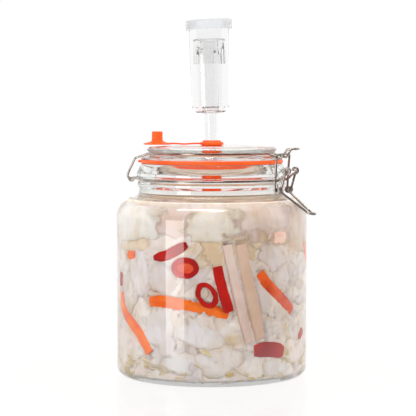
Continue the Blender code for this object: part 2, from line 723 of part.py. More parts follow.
def wall_leaf(rng, azimuth, z, lines, material, collection):
    """A piece of leaf whose one edge is in the core and whose other edge reaches for the glass."""
    rows, columns = 3, 4
    length, width = rng.uniform(22.0, 34.0), rng.uniform(26.0, 40.0)
    lean = math.radians(rng.uniform(-70.0, 70.0))
    reach = rng.uniform(8.0, 10.6)
    phase = rng.uniform(0.0, 6.28)
    centre_s = math.radians(azimuth) * FILL_R
    outside, inside = [], []
    for i in range(rows):
        along = i / (rows - 1)
        outside.append([])
        inside.append([])
        for j in range(columns):
            across = j / (columns - 1) - 0.5
            bow = length * (along - 0.5) - 5.0 * across * across
            side = width * across * (0.75 + 0.25 * math.sin(math.pi * min(1.0, 0.3 + along)))
            s = centre_s + side * math.cos(lean) - bow * math.sin(lean)
            height = z + side * math.sin(lean) + bow * math.cos(lean)
            height = max(FILL_FLOOR + 1.5, min(153.0, height))
            ripple = 1.3 * math.sin(5.0 * across + 3.0 * along + phase) * along
            wanted = CORE_R - 1.2 + reach * along ** 0.6 + ripple
            radius = min(wanted, free_radius(s, height, lines))
            if height < BASE_THICK + HEEL_R:
                radius = min(radius, 75.5)
            outside[-1].append((*polar(math.degrees(s / FILL_R), radius), height))
            inside[-1].append((*polar(math.degrees(s / FILL_R), radius - LEAF_THICK), height))
    return leaf_solid("leaf", outside, inside, material, collection)


def top_leaf(rng, azimuth, reach, material, collection):
    """A piece of leaf that lies on top of the heap with one edge tipped up."""
    rows, columns = 3, 4
    size = rng.uniform(26.0, 34.0)
    turn = math.radians(azimuth + rng.uniform(-60.0, 60.0))
    centre = Vector((*polar(azimuth, reach), 0.0))
    tip = rng.uniform(6.0, 11.0)
    phase = rng.uniform(0.0, 6.28)
    outside, inside = [], []
    for i in range(rows):
        u = i / (rows - 1)
        outside.append([])
        inside.append([])
        for j in range(columns):
            v = j / (columns - 1) - 0.5
            x = centre.x + size * ((u - 0.5) * math.cos(turn) - v * math.sin(turn))
            y = centre.y + size * ((u - 0.5) * math.sin(turn) + v * math.cos(turn))
            z = 146.5 + tip * u + 1.4 * math.sin(5.0 * v + phase) * u
            limit = room_at(z) - 1.0
            shrink = min(1.0, limit / max(1.0, math.hypot(x, y)))
            outside[-1].append((x * shrink, y * shrink, z))
            inside[-1].append((x * shrink, y * shrink, z - LEAF_THICK))
    return leaf_solid("leaf", outside, inside, material, collection)


def build_heap(materials, collection):
    """The cabbage: one body, a core with the leaves that show fused on."""
    rng = random.Random(SEED)
    profile = [
        (0.0, 149.0), (34.0, 148.6), (54.0, 146.0), (65.0, 140.0), (CORE_R, 130.0), (CORE_R, 100.0),
        (CORE_R, 60.0), (CORE_R, 16.0), (67.0, 7.0), (62.0, FILL_FLOOR), (0.0, FILL_FLOOR),
    ]
    cabbage = materials["cabbage"]
    shapes = [bake(turned("core", profile, 24, cabbage, collection))]
    lines = vegetable_lines()
    rows = ((22.0, 7), (52.0, 7), (82.0, 8), (112.0, 8), (138.0, 7))
    for k, (z, count) in enumerate(rows):
        for i in range(count):
            azimuth = 360.0 * (i + 0.5 * (k % 2)) / count + rng.uniform(-7.0, 7.0)
            height = z + rng.uniform(-5.0, 5.0)
            shapes.append(wall_leaf(rng, azimuth, height, lines, cabbage, collection))
    for i in range(6):
        azimuth = 60.0 * i + rng.uniform(-12.0, 12.0)
        shapes.append(top_leaf(rng, azimuth, 40.0, cabbage, collection))
    shapes.append(top_leaf(rng, 30.0, 6.0, cabbage, collection))
    heap = fuse("heap_uncut", shapes, cabbage, collection)
    room_for_vegetables = build_vegetables(materials, collection, swell=GAP + 0.1)
    return combined("cabbage_heap", "DIFFERENCE", heap, room_for_vegetables, cabbage, collection)


def clear_scene():
    for piece in list(bpy.data.objects):
        bpy.data.objects.remove(piece)


def main():
    clear_scene()
    collection = bpy.data.collections.new("fermentation_jar")
    bpy.context.scene.collection.children.link(collection)
    materials = {
        "glass": make_material("clear_glass", (0.95, 0.97, 0.96), 0.03, transmission=1.0),
        "plastic": make_material("clear_plastic", (0.95, 0.95, 0.95), 0.06, transmission=1.0),
        "frosted": make_material("frosted_plastic", (0.86, 0.87, 0.88), 0.35),
        "silicone": make_material("orange_silicone", (0.93, 0.17, 0.03), 0.4),
        "steel": make_material("steel_wire", (0.62, 0.60, 0.58), 0.22, metallic=1.0),
        "cabbage": make_material("pale_cabbage", (0.85, 0.80, 0.68), 0.4),
        "daikon": make_material("pale_daikon", (0.80, 0.68, 0.52), 0.4),
        "carrot": make_material("carrot", (0.90, 0.22, 0.03), 0.35),
        "chilli": make_material("chilli", (0.50, 0.02, 0.01), 0.25),
    }
    build_jar(materials, collection)
    build_neck_band(materials, collection)
    build_heap(materials, collection)
    build_vegetables(materials, collection)
    on_lid = [build_lid(materials, collection), build_gasket(materials, collection)]
    on_lid += [build_lid_bail(materials, collection), build_stopper(materials, collection)]
    on_lid += build_airlock(materials, collection)
    hung_on(on_lid, "lid_hinge", (HINGE_X, 0.0, HINGE_Z), collection)
    link = build_latch_link(materials, collection)
    hung_on([link], "link_hinge", (LINK_X, 0.0, LINK_Z), collection)
    lever = build_latch_lever(materials, collection)
    hung_on([lever], "lever_hinge", (EYE_X, 0.0, EYE_Z), collection)


main()
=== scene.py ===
"""The looks of a clip-top fermentation jar of pickled cabbage with an airlock in its lid.

Lengths are in millimetres here and become metres when the meshes are made. The origin is the
centre of the base, +X points at the latch and -X at the hinge.
"""

import math
import random

import bmesh
import bpy
from mathutils import Matrix, Vector, noise


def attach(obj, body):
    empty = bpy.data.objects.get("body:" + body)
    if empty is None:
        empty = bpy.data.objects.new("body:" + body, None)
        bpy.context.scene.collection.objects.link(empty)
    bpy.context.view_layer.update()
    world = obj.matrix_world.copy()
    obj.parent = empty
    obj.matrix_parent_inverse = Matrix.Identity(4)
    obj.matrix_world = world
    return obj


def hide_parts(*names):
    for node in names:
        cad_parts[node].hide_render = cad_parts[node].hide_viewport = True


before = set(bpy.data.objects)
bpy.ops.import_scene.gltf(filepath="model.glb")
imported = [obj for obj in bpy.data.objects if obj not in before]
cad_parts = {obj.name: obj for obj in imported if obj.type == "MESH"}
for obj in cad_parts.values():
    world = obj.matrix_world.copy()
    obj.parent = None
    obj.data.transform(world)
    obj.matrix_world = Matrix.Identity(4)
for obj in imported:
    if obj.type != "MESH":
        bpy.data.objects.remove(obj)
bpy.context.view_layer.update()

MM = 0.001

# Where the photograph was taken from: the jar's latch points right and towards the camera
CAMERA_AZIMUTH = 25.0
CAMERA_DISTANCE = 1430.0
CAMERA_HEIGHT = 239.0
CAMERA_PITCH = -3.64
CAMERA_LENS = 138.4
CAMERA_SHIFT_X = -0.009
FACING = CAMERA_AZIMUTH - 90.0

# The floor: where the shade under the jar ends, and where the floor fades into the background
FLOOR_R = 500.0
CONTACT_SHADE_R = (77.0, 81.5)
CONTACT_SHADE, FLOOR_GLOW, FLOOR_MIRROR = 0.55, 1.02, 0.1
FLOOR_FADE_R = (160.0, 475.0)

# The room that the glass reflects
ROOM_SIDES = (0.8, 0.79, 0.78)
CAMERA_SIDE = (0.10, 0.09, 0.09)

# The jar and its brine
BODY_R = 85.0
INNER_R = 81.0
INNER_HEEL_R, INNER_SHOULDER_R = 5.0, 14.0
INNER_SHOULDER_Z = 149.4
RIM_Z = 188.3
FLOOR_Z = 4.0
BRINE_Z = 166.0
INTO_WALL = 0.2
TURN_STEPS, FINE_STEPS, SMALL_STEPS = 160, 96, 64

# The wires
WIRE_R = 1.0
BAND_R, BAND_Z = 66.5, 174.4
BAIL_R, BAIL_Z = 55.8, 197.6
EYE_R = 2.6
HINGE_X, HINGE_Z, HINGE_HALF = -74.9, 174.2, 16.5
BAIL_LEG_Y = 12.0
EYE_X, EYE_Y, EYE_Z = 76.8, 9.2, 182.6
LEVER_Y = 11.6
COIL_X, COIL_Z, COIL_R = 69.4, 165.8, 2.3
LINK_X, LINK_Y, LINK_Z = 69.0, 14.4, 197.0
NOSE_Y, NOSE_DIP_Z, NOSE_TIP_X, NOSE_TIP_Z = 5.0, 194.7, 82.6, 201.8
KNEE = (92.7, 147.2)
HANDLE_TIP = (98.9, 145.4)

# The stopper and the airlock
LID_TOP_Z = 204.4
LID_HOLE_R = 9.2
STRAP_AZIMUTH = 205.0
PLUG_REACH = 48.7
PLUG_TOP_Z = 216.6
BUNG_END_Z = 173.6
LEAN, LEAN_PIVOT_Z, CAP_SLANT, CAP_PIVOT_Z = 1.35, 195.0, 1.5, 311.0

# The pickle lies between the core and the glass
CORE_R = 70.0
INSIDE_R = 74.4
HEAP_TOP_Z = 158.0
FILL_R = 80.2
ROOM_R = 80.6
STICK_THICK = 6.2
CHILLI_THICK = 2.4
RING_STEPS, FLESH_STEPS = 56, 32
TUCK = 3.3
SEED = 5


def polar(azimuth, radius=1.0):
    """The x and y of a point at an azimuth in degrees."""
    return radius * math.cos(math.radians(azimuth)), radius * math.sin(math.radians(azimuth))


def clamp(value, low, high):
    return max(low, min(high, value))


def smoothstep(low, high, value):
    t = clamp((value - low) / (high - low), 0.0, 1.0)
    return t * t * (3.0 - 2.0 * t)


# Shader helpers

class Shader:
    """The node tree of a material or a world, with short calls to add and link nodes."""

    def __init__(self, owner, output="OutputMaterial"):
        owner.use_nodes = True
        self.owner = owner
        self.tree = owner.node_tree
        self.tree.nodes.clear()
        self.out = self.add(output)

    def add(self, kind, settings=None, **inputs):
        node = self.tree.nodes.new("ShaderNode" + kind)
        for key, value in (settings or {}).items():
            setattr(node, key, value)
        for key, value in inputs.items():
            self.put(node, key.replace("_", " "), value)
        return node

    def put(self, node, name, value):
        socket = node.inputs[name]
        if isinstance(value, bpy.types.NodeSocket):
            self.tree.links.new(value, socket)
        else:
            socket.default_value = value

    def mix_shaders(self, factor, first, second):
        node = self.add("MixShader")
        for socket, value in enumerate((factor, first, second)):
            self.put(node, socket, value)
        return node.outputs[0]

    def math(self, operation, first, second=0.0, use_clamp=False):
        node = self.add("Math", {"operation": operation, "use_clamp": use_clamp})
        self.put(node, 0, first)
        self.put(node, 1, second)
        return node.outputs[0]

    def towards(self, direction, way):
        """How far a direction points a horizontal way, given in degrees: 1 along it, -1 against it."""
        node = self.add("VectorMath", {"operation": "DOT_PRODUCT"})
        self.put(node, 0, direction)
        self.put(node, 1, (*polar(way), 0.0))
        return node.outputs["Value"]

    def fade(self, value, low, high, result=(0.0, 1.0)):
        """A value's place between two limits, as a value between two results."""
        node = self.add("MapRange", None, Value=value, From_Min=low, From_Max=high)
        self.put(node, "To Min", result[0])
        self.put(node, "To Max", result[1])
        return node.outputs["Result"]

    def where(self):
        """Positions in the object's own space, which for every piece here is the jar's frame."""
        return self.add("TexCoord").outputs["Object"]

    def noise(self, scale, detail=3.0, stretch=(1.0, 1.0, 1.0), roughness=0.5):
        mapping = self.add("Mapping", Scale=stretch)
        self.put(mapping, "Vector", self.where())
        texture = self.add("TexNoise", Scale=scale, Detail=detail, Roughness=roughness)
        self.put(texture, "Vector", mapping.outputs["Vector"])
        return texture.outputs["Fac"]

    def ramp(self, factor, stops):
        node = self.add("ValToRGB")
        self.put(node, "Fac", factor)
        elements = node.color_ramp.elements
        while len(elements) < len(stops):
            elements.new(0.5)
        for element, (position, colour) in zip(elements, stops):
            element.position = position
            element.color = (*colour, 1.0)
        return node.outputs["Color"]

    def mix_colour(self, factor, first, second, blend="MIX"):
        node = self.add("Mix", {"data_type": "RGBA", "blend_type": blend})
        colours = [socket for socket in node.inputs if socket.type == "RGBA"]
        self.put(node, 0, factor)
        for socket, value in zip(colours, (first, second)):
            if isinstance(value, bpy.types.NodeSocket):
                self.tree.links.new(value, socket)
            else:
                socket.default_value = (*value, 1.0)
        return [socket for socket in node.outputs if socket.type == "RGBA"][0]

    def bump(self, height, strength, distance):
        node = self.add("Bump", Strength=strength, Distance=distance)
        self.put(node, "Height", height)
        return node.outputs["Normal"]


def new_material(name):
    return Shader(bpy.data.materials.new(name))


def linear(red, green, blue):
    """A colour as it looks on screen, 0 to 255, in the linear values that shaders take."""
    result = []
    for value in (red, green, blue):
        share = value / 255.0
        result.append(share / 12.92 if share <= 0.04045 else ((share + 0.055) / 1.055) ** 2.4)
    return tuple(result)


def clear_material(name, colour, ior, roughness=0.0, shadow=(1.0, 1.0, 1.0), absorb=None, density=0.0):
    """Clear glass or plastic that lets the lamps' light through to what is inside."""
    s = new_material(name)
    body = s.add("BsdfPrincipled", Base_Color=(*colour, 1.0), Roughness=roughness, IOR=ior,
                 Transmission_Weight=1.0)
    through = s.add("BsdfTransparent", Color=(*shadow, 1.0))
    in_shadow = s.add("LightPath").outputs["Is Shadow Ray"]
    s.put(s.out, "Surface", s.mix_shaders(in_shadow, body.outputs[0], through.outputs[0]))
    if absorb:
        inside = s.add("VolumeAbsorption", Color=(*absorb, 1.0), Density=density)
        s.put(s.out, "Volume", inside.outputs[0])
    return s.owner


def principled(s, colour, normal, **inputs):
    """The material of an opaque piece from its colour, its bumps and its other inputs."""
    shader = s.add("BsdfPrincipled", None, **inputs)
    s.put(shader, "Base Color", colour)
    s.put(shader, "Normal", normal)
    s.put(s.out, "Surface", shader.outputs[0])
    return s.owner


def silicone_material():
    s = new_material("orange_silicone")
    colour = s.ramp(s.noise(60.0), [(0.3, linear(238, 76, 8)), (0.7, linear(246, 92, 16))])
    grain = s.bump(s.noise(900.0), 0.08, 0.0003)
    return principled(s, colour, grain, Roughness=0.42, Specular_IOR_Level=0.3,
                      Subsurface_Weight=0.12, Subsurface_Scale=0.003,
                      Subsurface_Radius=(1.0, 0.4, 0.15))


def steel_material():
    s = new_material("steel_wire")
    streaks = s.noise(260.0, 4.0)
    colour = s.ramp(streaks, [(0.3, linear(152, 142, 134)), (0.7, linear(196, 186, 178))])
    return principled(s, colour, s.bump(streaks, 0.1, 0.0002), Metallic=1.0, Roughness=0.2)


def leaf_material():
    """Wet cabbage: pale ribs, cream blade, tan in the folds, with each leaf's own tint."""
    s = new_material("cabbage_leaf")
    tint = s.add("Attribute", {"attribute_name": "tint"}).outputs["Color"]
    veins = s.noise(130.0, 5.0, (1.0, 1.0, 0.35), 0.6)
    blotch = s.noise(38.0, 4.0)
    vein_shade = s.ramp(veins, [(0.36, linear(226, 212, 190)), (0.54, (1.0, 1.0, 1.0))])
    colour = s.mix_colour(0.45, tint, vein_shade, "MULTIPLY")
    stain = s.ramp(blotch, [(0.34, linear(232, 210, 170)), (0.52, (1.0, 1.0, 1.0))])
    colour = s.mix_colour(0.4, colour, stain, "MULTIPLY")
    return principled(s, colour, s.bump(veins, 0.35, 0.0012), Roughness=0.45,
                      Specular_IOR_Level=0.25, Subsurface_Weight=0.6, Subsurface_Scale=0.006,
                      Subsurface_Radius=(1.0, 0.85, 0.6))


def vegetable_material(name, dark, light, scale, roughness=0.35, spec=0.2, soft=0.15):
    """Streaked flesh or skin between two colours, given as they look on screen."""
    s = new_material(name)
    streaks = s.noise(scale, 4.0)
    colour = s.ramp(streaks, [(0.32, linear(*dark)), (0.66, linear(*light))])
    grain = s.bump(s.noise(scale * 4.0, 3.0), 0.25, 0.0005)
    return principled(s, colour, grain, Roughness=roughness, Specular_IOR_Level=spec,
                      Subsurface_Weight=soft, Subsurface_Scale=0.003)


WHITE = (1.0, 1.0, 1.0)
GLASS_GREEN = (0.78, 0.9, 0.86)
BRINE_TINT = (0.86, 0.8, 0.72)
FROSTED, FROSTED_SHADOW = (0.93, 0.94, 0.95), (0.8, 0.8, 0.8)
# The darker and the lighter colour, the scale of the streaks, the roughness, the shine and the softness
VEGETABLE_LOOKS = {
    "shadowed_leaf": ((214, 188, 156), (236, 220, 200), 45.0, 0.6, 0.1),
    "carrot": ((228, 84, 14), (250, 124, 30), 60.0, 0.22),
    "carrot_deep": ((194, 54, 8), (228, 94, 26), 60.0, 0.22),
    "carrot_pale": ((236, 184, 160), (240, 208, 194), 60.0),
    "daikon": ((200, 168, 154), (222, 200, 190), 40.0, 0.3),
    "daikon_pale": ((198, 162, 136), (212, 182, 162), 40.0, 0.3),
    "chilli": ((124, 2, 0), (198, 18, 2), 30.0, 0.2, 0.15, 0.0),
    "chilli_flesh": ((206, 48, 10), (240, 96, 30), 80.0),
}


def make_materials():
    materials = {
        "glass": clear_material("jar_glass", WHITE, 1.5, absorb=GLASS_GREEN, density=9.0),
        "brine": clear_material("brine", WHITE, 1.34, absorb=BRINE_TINT, density=4.0),
        "plastic": clear_material("clear_plastic", WHITE, 1.46),
        "frosted": clear_material("frosted_plastic", FROSTED, 1.4, 0.45, FROSTED_SHADOW),
        "silicone": silicone_material(),
        "steel": steel_material(),
        "leaf": leaf_material(),
    }
    for name, look in VEGETABLE_LOOKS.items():
        materials[name] = vegetable_material(name, *look)
    return materials


# Shape helpers

def filleted(corners, closed):
    """A profile of (r, z, fillet) corners with its corners rounded by arcs."""
    count = len(corners)
    points = []
    for i, (x, z, radius) in enumerate(corners):
        here = Vector((x, z))
        if radius == 0.0 or (not closed and i in (0, count - 1)):
            points.append(here)
            continue
        back = Vector(corners[i - 1][:2]) - here
        ahead = Vector(corners[(i + 1) % count][:2]) - here
        half = back.angle(ahead) / 2.0
        reach = min(radius / math.tan(half), 0.48 * back.length, 0.48 * ahead.length)
        radius = reach * math.tan(half)
        start = here + back.normalized() * reach
        stop = here + ahead.normalized() * reach
        middle = (back.normalized() + ahead.normalized()).normalized()
        centre = here + middle * (radius / math.sin(half))
        steps = max(2, round((math.pi - 2.0 * half) / math.radians(11.0)))
        a, b = start - centre, stop - centre
        sweep = a.angle_signed(b)
        for k in range(steps + 1):
            turn = Matrix.Rotation(-sweep * k / steps, 2)
            points.append(centre + turn @ a)
    return points


def lathe(name, corners, material, steps=TURN_STEPS):
    """A turned piece from a profile of (r, z, fillet) corners, closed when it has a hole."""
    closed = not (corners[0][0] == 0.0 and corners[-1][0] == 0.0)
    profile = filleted(corners, closed)
    bm = bmesh.new()
    rows = []
    for point in profile:
        if point.x < 0.001:
            rows.append([bm.verts.new((0.0, 0.0, point.y * MM))] * steps)
            continue
        row = []
        for k in range(steps):
            x, y = polar(360.0 * k / steps, point.x)
            row.append(bm.verts.new((x * MM, y * MM, point.y * MM)))
        rows.append(row)
    skin(bm, rows, closed)
    return finished(name, bm, material)


def skin(bm, rings, closed=False):
    """Faces between each ring of points and the next, and round to the first where closed."""
    pairs = list(zip(rings, rings[1:]))
    if closed:
        pairs.append((rings[-1], rings[0]))
    for near, far in pairs:
        for i in range(len(near)):
            j = (i + 1) % len(near)
            corners = []
            for vert in (near[i], near[j], far[j], far[i]):
                if vert not in corners:
                    corners.append(vert)
            if len(corners) > 2:
                bm.faces.new(corners)


def cap(bm, rings):
    bm.faces.new(rings[0])
    bm.faces.new(rings[-1])


def finished(name, bm, material, sharp=40.0):
    bmesh.ops.recalc_face_normals(bm, faces=bm.faces)
    mesh = bpy.data.meshes.new(name)
    bm.to_mesh(mesh)
    bm.free()
    mesh.shade_smooth()
    mesh.set_sharp_from_angle(angle=math.radians(sharp))
    return placed(name, mesh, material)


def linked(name, data):
    piece = bpy.data.objects.new(name, data)
    bpy.context.scene.collection.objects.link(piece)
    return piece


def placed(name, data, material):
    data.materials.append(material)
    return linked(name, data)


def arc(radius, start, stop, segments):
    return [polar(start + (stop - start) * i / segments, radius) for i in range(segments + 1)]


def smooth_path(points, steps=4):
    """Points along a smooth line through the given ones."""
    given = [Vector(p) for p in points]
    ends = [given[0] * 2.0 - given[1]] + given + [given[-1] * 2.0 - given[-2]]
    result = []
    for i in range(1, len(ends) - 2):
        before, start, stop, after = ends[i - 1:i + 3]
        for k in range(steps):
            t = k / steps
            result.append(0.5 * (2.0 * start + (stop - before) * t
                                 + (2.0 * before - 5.0 * start + 4.0 * stop - after) * t * t
                                 + (3.0 * start - before - 3.0 * stop + after) * t ** 3))
    result.append(given[-1])
    return result


def wire(name, points, material, radius=WIRE_R):
    """A round wire with a smooth bend at each of its points."""
    curve = bpy.data.curves.new(name, "CURVE")
    curve.dimensions = "3D"
    curve.bevel_depth = radius * MM
    curve.bevel_resolution = 6
    curve.use_fill_caps = True
    line = smooth_path(points)
    spline = curve.splines.new("POLY")
    spline.points.add(len(line) - 1)
    for point, place in zip(spline.points, line):
        point.co = (*(place * MM), 1.0)
    return placed(name, curve, material)


def mirrored(points):
    return points + [(x, -y, z) for x, y, z in reversed(points)]


def slanted(angle, pivot_z):
    """A turn that tips the +Z axis towards the strap's side about a point on the jar's axis."""
    x, y = polar(STRAP_AZIMUTH)
    axis = Vector((0.0, 0.0, 1.0)).cross(Vector((x, y, 0.0)))
    pivot = Matrix.Translation((0.0, 0.0, pivot_z * MM))
    return pivot @ Matrix.Rotation(math.radians(angle), 4, axis) @ pivot.inverted()


def stands_for(piece, body, slot, *nodes):
    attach(piece, body)
    if nodes:
        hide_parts(*nodes)
    return piece


# The jar, its brine and its lid

def build_jar(m):
    corners = [
        (0.0, FLOOR_Z, 0.0), (INNER_R, FLOOR_Z, INNER_HEEL_R),
        (INNER_R, INNER_SHOULDER_Z, INNER_SHOULDER_R), (59.0, 158.3, 8.0),
        (56.5, 184.0, 4.0), (57.4, RIM_Z, 1.0), (62.8, RIM_Z, 1.2), (65.8, 182.8, 2.5),
        (67.0, 180.0, 1.5), (67.0, 177.3, 1.0), (65.2, 175.9, 0.9), (65.2, 172.5, 0.9),
        (66.3, 170.8, 0.8), (66.3, 168.6, 0.9), (65.0, 166.6, 1.2), (65.0, 160.2, 6.5),
        (BODY_R, 152.1, 18.0), (BODY_R, 0.0, 7.0), (0.0, 0.0, 0.0),
    ]
    stands_for(lathe("jar_glass_clear", corners, m["glass"]), "jar", "jar_glass", "jar_glass")


def build_brine(m):
    out = INTO_WALL
    corners = [
        (0.0, FLOOR_Z - out, 0.0), (INNER_R + out, FLOOR_Z - out, INNER_HEEL_R + out),
        (INNER_R + out, INNER_SHOULDER_Z + out, INNER_SHOULDER_R + out),
        (59.0 + out, 158.3 + out, 8.0), (58.5 + out, BRINE_Z, 0.0), (0.0, BRINE_Z, 0.0),
    ]
    stands_for(lathe("brine", corners, m["brine"]), "jar", "cabbage")


def build_lid(m):
    corners = [
        (LID_HOLE_R, LID_TOP_Z, 0.8), (42.0, LID_TOP_Z - 0.4, 30.0), (56.4, LID_TOP_Z - 1.4, 3.0),
        (58.2, 200.6, 1.6), (57.2, 199.0, 0.6), (54.0, 198.7, 1.0), (54.0, 196.6, 1.2),
        (62.4, 193.7, 1.2), (63.3, 192.9, 0.5),
        (62.9, 191.9, 0.4), (51.6, 191.9, 0.3), (51.2, 189.8, 0.8), (49.0, 189.8, 0.8), (48.2, 196.4, 2.0),
        (43.0, 198.6, 3.0), (LID_HOLE_R, 198.8, 0.6),
    ]
    stands_for(lathe("lid_glass_clear", corners, m["glass"]), "lid", "lid_glass", "lid_glass")


def build_gasket(m):
    corners = [
        (51.9, 191.6, 0.5), (63.7, 191.6, 0.9), (63.7, 188.6, 0.9), (53.2, 188.6, 0.4), (53.2, 182.2, 0.4),
        (51.9, 182.2, 0.4),
    ]
    ring = lathe("gasket_ring", corners, m["silicone"])
    stands_for(ring, "lid", "silicone", "gasket")
    bm = bmesh.new()
    bmesh.ops.create_cube(bm, size=MM)
    bm.transform(Matrix.Diagonal((5.0, 12.0, 2.0, 1.0)))
    tab = finished("gasket_tab", bm, m["silicone"])
    turn = Matrix.Rotation(math.radians(STRAP_AZIMUTH), 4, "Z")
    tab.data.transform(turn @ Matrix.Translation((63.1 * MM, 0.0, 190.1 * MM)))
    soften(tab, 0.6)
    stands_for(tab, "lid", "silicone", "gasket")


# Wires

def build_wires(m):
    eye = [(EYE_X + x, EYE_Y, EYE_Z + z) for x, z in arc(EYE_R, 185.0, -100.0, 12)]
    arm = [(74.0, EYE_Y, 179.2), (70.6, EYE_Y, 176.0), (67.6, 9.6, BAND_Z + 0.1)]
    groove = [(*polar(11.0 + 146.0 * i / 20, BAND_R), BAND_Z) for i in range(21)]
    bar = [(-68.5, 21.0, BAND_Z), (HINGE_X, HINGE_HALF, HINGE_Z)]
    band = wire("neck_band_wire", mirrored(eye + arm + groove + bar), m["steel"])
    stands_for(band, "jar", "steel_wire", "neck_band")

    curl = [(HINGE_X + x, BAIL_LEG_Y, HINGE_Z + z) for x, z in arc(EYE_R, -20.0, -190.0, 8)]
    leg = [(HINGE_X - 3.6, BAIL_LEG_Y, HINGE_Z + 3.4), (-71.8, BAIL_LEG_Y, 190.6),
           (-69.8, BAIL_LEG_Y, 192.4), (-62.0, BAIL_LEG_Y, 195.0)]
    waist = [(*polar(167.0 - 161.5 * i / 18, BAIL_R), BAIL_Z) for i in range(19)]
    nose = [(60.5, NOSE_Y, 196.6), (64.5, NOSE_Y, 195.2), (LINK_X - 1.6, NOSE_Y, NOSE_DIP_Z),
            (LINK_X + 1.4, NOSE_Y, NOSE_DIP_Z + 0.1), (74.0, NOSE_Y, 200.4), (75.6, NOSE_Y, 201.5),
            (NOSE_TIP_X - 3.2, NOSE_Y, NOSE_TIP_Z), (NOSE_TIP_X - 0.6, 3.6, NOSE_TIP_Z),
            (NOSE_TIP_X, 1.4, NOSE_TIP_Z)]
    bail = wire("lid_bail_wire", mirrored(curl + leg + waist + nose), m["steel"])
    stands_for(bail, "lid", "steel_wire", "lid_bail")

    curl = [(COIL_X + x, LINK_Y, COIL_Z + z) for x, z in arc(COIL_R, 75.0, -190.0, 10)]
    leg = [(LINK_X - 1.7, LINK_Y, COIL_Z + 3.6), (LINK_X - 0.6, LINK_Y, 188.0),
           (LINK_X, LINK_Y, LINK_Z - 2.4), (LINK_X, LINK_Y - 0.8, LINK_Z - 0.7),
           (LINK_X, LINK_Y - 2.6, LINK_Z)]
    link = wire("latch_link_wire", mirrored(curl + leg), m["steel"])
    stands_for(link, "link", "steel_wire", "latch_link")

    pin = [(EYE_X, EYE_Y - 1.9, EYE_Z), (EYE_X, LEVER_Y - 0.5, EYE_Z)]
    leg = [(EYE_X - 0.7, LEVER_Y, EYE_Z - 1.4)]
    coil = []
    for i in range(21):
        share = i / 20
        x, z = polar(-5.0 - 400.0 * share, COIL_R)
        coil.append((COIL_X + x, LEVER_Y - 2.5 * share, COIL_Z + z))
    handle = [(KNEE[0] - 1.6, 4.4, KNEE[1] + 1.5), (KNEE[0] + 0.6, 4.0, KNEE[1] - 0.4),
              (HANDLE_TIP[0] - 1.6, 3.4, HANDLE_TIP[1] + 0.2), (HANDLE_TIP[0], 1.4, HANDLE_TIP[1])]
    lever = wire("latch_lever_wire", mirrored(pin + leg + coil + handle), m["steel"])
    stands_for(lever, "lever", "steel_wire", "latch_lever")


# Stopper and airlock

def build_stopper(m):
    on_lid = LID_TOP_Z + 0.3
    bung = [
        (5.8, 208.7, 0.5), (7.6, 208.7, 0.6), (8.6, 207.3, 0.8), (10.2, 207.0, 0.8), (10.9, on_lid, 0.6),
        (8.9, on_lid, 0.3), (8.9, 198.3, 0.2), (11.2, 198.3, 0.5), (10.8, 195.6, 0.8), (9.3, 194.8, 0.8),
        (8.7, BUNG_END_Z, 1.0), (5.8, BUNG_END_Z, 0.5),
    ]
    body = lathe("stopper_bung", bung, m["silicone"], SMALL_STEPS)
    stands_for(body, "lid", "silicone", "stopper")
    plug = [
        (0.0, PLUG_TOP_Z, 0.0), (4.8, PLUG_TOP_Z, 0.6), (4.9, 208.2, 1.8), (8.0, 206.9, 3.0),
        (12.4, 206.0, 0.4), (12.1, on_lid + 0.2, 0.3), (0.0, on_lid + 0.2, 0.0),
    ]
    spare = lathe("stopper_plug", plug, m["silicone"], SMALL_STEPS)
    spare.data.transform(Matrix.Translation((PLUG_REACH * MM, 0.0, 0.0)))
    low = on_lid + 0.7
    line = smooth_path([(9.6, 0.0, low + 0.5), (16.0, 0.0, low + 0.5), (24.4, 0.0, low),
                        (31.0, 0.0, low + 0.4), (38.0, 0.0, low + 0.5)], 6)
    bm = bmesh.new()
    rings = []
    for point in line:
        ring = []
        for side, up in ((-1, -1), (1, -1), (1, 1), (-1, 1)):
            place = (point.x, 3.5 * side, point.z + 0.65 * up)
            ring.append(bm.verts.new([value * MM for value in place]))
        rings.append(ring)
    skin(bm, rings)
    cap(bm, rings)
    strap = finished("stopper_strap", bm, m["silicone"])
    for piece in (spare, strap):
        piece.data.transform(Matrix.Rotation(math.radians(STRAP_AZIMUTH), 4, "Z"))
        stands_for(piece, "lid", "silicone", "stopper")
    soften(strap, 0.35)


def soften(piece, width):
    bevel = piece.modifiers.new("Soft edges", "BEVEL")
    bevel.width = width * MM
    bevel.segments = 3
    bevel.limit_method = "ANGLE"
    bevel.harden_normals = False


